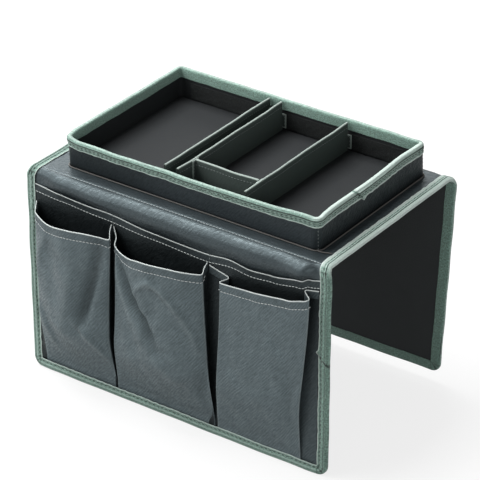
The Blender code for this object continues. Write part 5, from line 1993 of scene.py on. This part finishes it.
# Studio
@dataclass(frozen=True)
class Studio:
    """A pale floor, soft lamps and the camera at the photograph's viewing angle."""

    azimuth: float = math.radians(35.27)
    elevation: float = math.radians(29.49)
    lens: float = 204.87
    place: tuple[float, float, float] = (1.5947, -2.2577, 1.4724 + PANEL.top_z)
    floor_z: float = -0.2627
    floor_reach: float = 30.0
    floor_glow: float = 0.8
    mirrored: float = 0.3
    sky: float = 0.26

    def camera(self) -> None:
        """Sets the camera."""
        data = bpy.data.cameras.new("camera")
        data.lens, data.sensor_width, data.clip_end = self.lens, 36.0, 100.0
        thing = bpy.data.objects.new("camera", data)
        bpy.context.scene.collection.objects.link(thing)
        az, el = self.azimuth, self.elevation
        back = Vector((math.sin(az) * math.cos(el), -math.cos(az) * math.cos(el), math.sin(el)))
        right = Vector((math.cos(az), math.sin(az), 0.0))
        up = back.cross(right)
        turn = Matrix((right, up, back)).transposed().to_4x4()
        thing.matrix_world = Matrix.Translation(self.place) @ turn
        bpy.context.scene.camera = thing

    def floor(self) -> None:
        """A white floor that keeps the object's shadow."""
        signs = ((-1, -1), (1, -1), (1, 1), (-1, 1))
        corners = [(self.floor_reach * x, self.floor_reach * y, self.floor_z) for x, y in signs]
        thing = add_mesh("floor", np.array(corners), [(0, 1, 2, 3)])
        r = Recipe("pale floor")
        r.tree.nodes.remove(r.shader)
        plain = r.add("BsdfDiffuse", {"Color": linear(0xF2F2F2)}).outputs[0]
        glow = r.add("Emission", {"Color": WHITE}).outputs[0]
        matt = r.add("BsdfDiffuse", {"Color": linear(0xB2B2B2)}).outputs[0]
        shown = r.add("MixShader", {0: self.floor_glow, 1: plain, 2: glow}).outputs[0]
        rays = r.add("LightPath").outputs
        clear = r.math('MAXIMUM', rays["Is Glossy Ray"], rays["Is Transmission Ray"])
        inputs = {0: clear, 1: self.mirrored, 2: rays["Is Camera Ray"]}
        seen = r.add("Math", inputs, operation='MULTIPLY_ADD', use_clamp=True).outputs[0]
        mix = r.add("MixShader", {0: seen, 1: matt, 2: shown}).outputs[0]
        r.feed(r.tree.nodes["Material Output"].inputs["Surface"], mix)
        thing.data.materials.append(r.material)

    def lamp(
        self, name: str, place: tuple, size: Pair, power: float, up: tuple
    ) -> None:
        """One soft lamp that shines at the object.

        Args:
            name: the lamp's name.
            place: where it stands.
            size: its width and height in metres.
            power: its power in watts.
            up: the direction its height runs along.
        """
        data = bpy.data.lights.new(name, 'AREA')
        data.shape, data.energy = 'RECTANGLE', power
        data.size, data.size_y = size
        thing = bpy.data.objects.new(name, data)
        bpy.context.scene.collection.objects.link(thing)
        back = Vector(place).normalized()
        right = Vector(up).cross(back).normalized()
        turn = Matrix((right, back.cross(right), back)).transposed().to_4x4()
        thing.matrix_world = Matrix.Translation(place) @ turn

    def light(self) -> None:
        """The lamps and the world."""
        upright = (0.0, 0.0, 1.0)
        self.lamp("overhead lamp", (-0.95, 0.25, 2.1), (1.5, 1.5), 70.0, (0.0, 1.0, 0.0))
        self.lamp("front lamp", (-0.98, -1.02, 1.32), (0.9, 2.1), 26.0, (0.0, 0.82, 0.57))
        self.lamp("left lamp", (-2.3, -1.6, 1.1), (1.0, 1.0), 18.0, upright)
        self.lamp("right lamp", (2.3, -1.5, 0.55), (1.0, 1.0), 16.0, upright)
        self.lamp("rear lamp", (-1.6, 2.2, 1.45), (1.4, 1.4), 24.0, upright)
        world = bpy.data.worlds.new("studio")
        bpy.context.scene.world = world
        world.use_nodes = True
        back = world.node_tree.nodes["Background"]
        back.inputs["Color"].default_value = WHITE
        back.inputs["Strength"].default_value = self.sky

    def make(self) -> None:
        """Builds the studio."""
        self.camera()
        self.floor()
        self.light()
        bpy.context.scene.view_settings.view_transform = 'Standard'


def dress_boards(finishes: Finishes) -> None:
    """Gives every card board and core that stays from the model its finish."""
    for name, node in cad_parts.items():
        if name.endswith("_board") or name.endswith("_core"):
            for slot in node.material_slots:
                slot.material = finishes.core if name.endswith("_core") else finishes.card
            LOG.info("dressed %s", name)


def main() -> None:
    """Builds the classes in order."""
    studio = Studio()
    studio.make()
    finishes = Finishes()
    seams = Seams()
    covers = Covers(finishes, seams)
    bindings = Bindings(finishes, seams)
    covers.saddle()
    bindings.saddle_ends()
    for drape, label in ((FRONT_DRAPE, "front"), (REAR_DRAPE, "rear")):
        covers.fold(drape, label)
        covers.flap(drape, label + "_flap")
        bindings.fold_ends(drape, label)
        bindings.flap(drape, label + "_flap")
    SlipPocket(finishes, seams).make()
    for cut in (LEFT_POCKET, MIDDLE_POCKET, RIGHT_POCKET):
        Pocket(finishes, seams, cut).make()
    Tray(finishes, seams).make()
    for body in ("divider_left", "divider_middle", "divider_right"):
        Divider(finishes, seams, body, (body + "_hook_front", body + "_hook_rear")).make()
    tabs = ("cross_divider_tab_left", "cross_divider_tab_right")
    Divider(finishes, seams, "cross_divider", tabs).make()
    dress_boards(finishes)
    seams.sew(FOLDS)


if __name__ == "__main__":
    main()
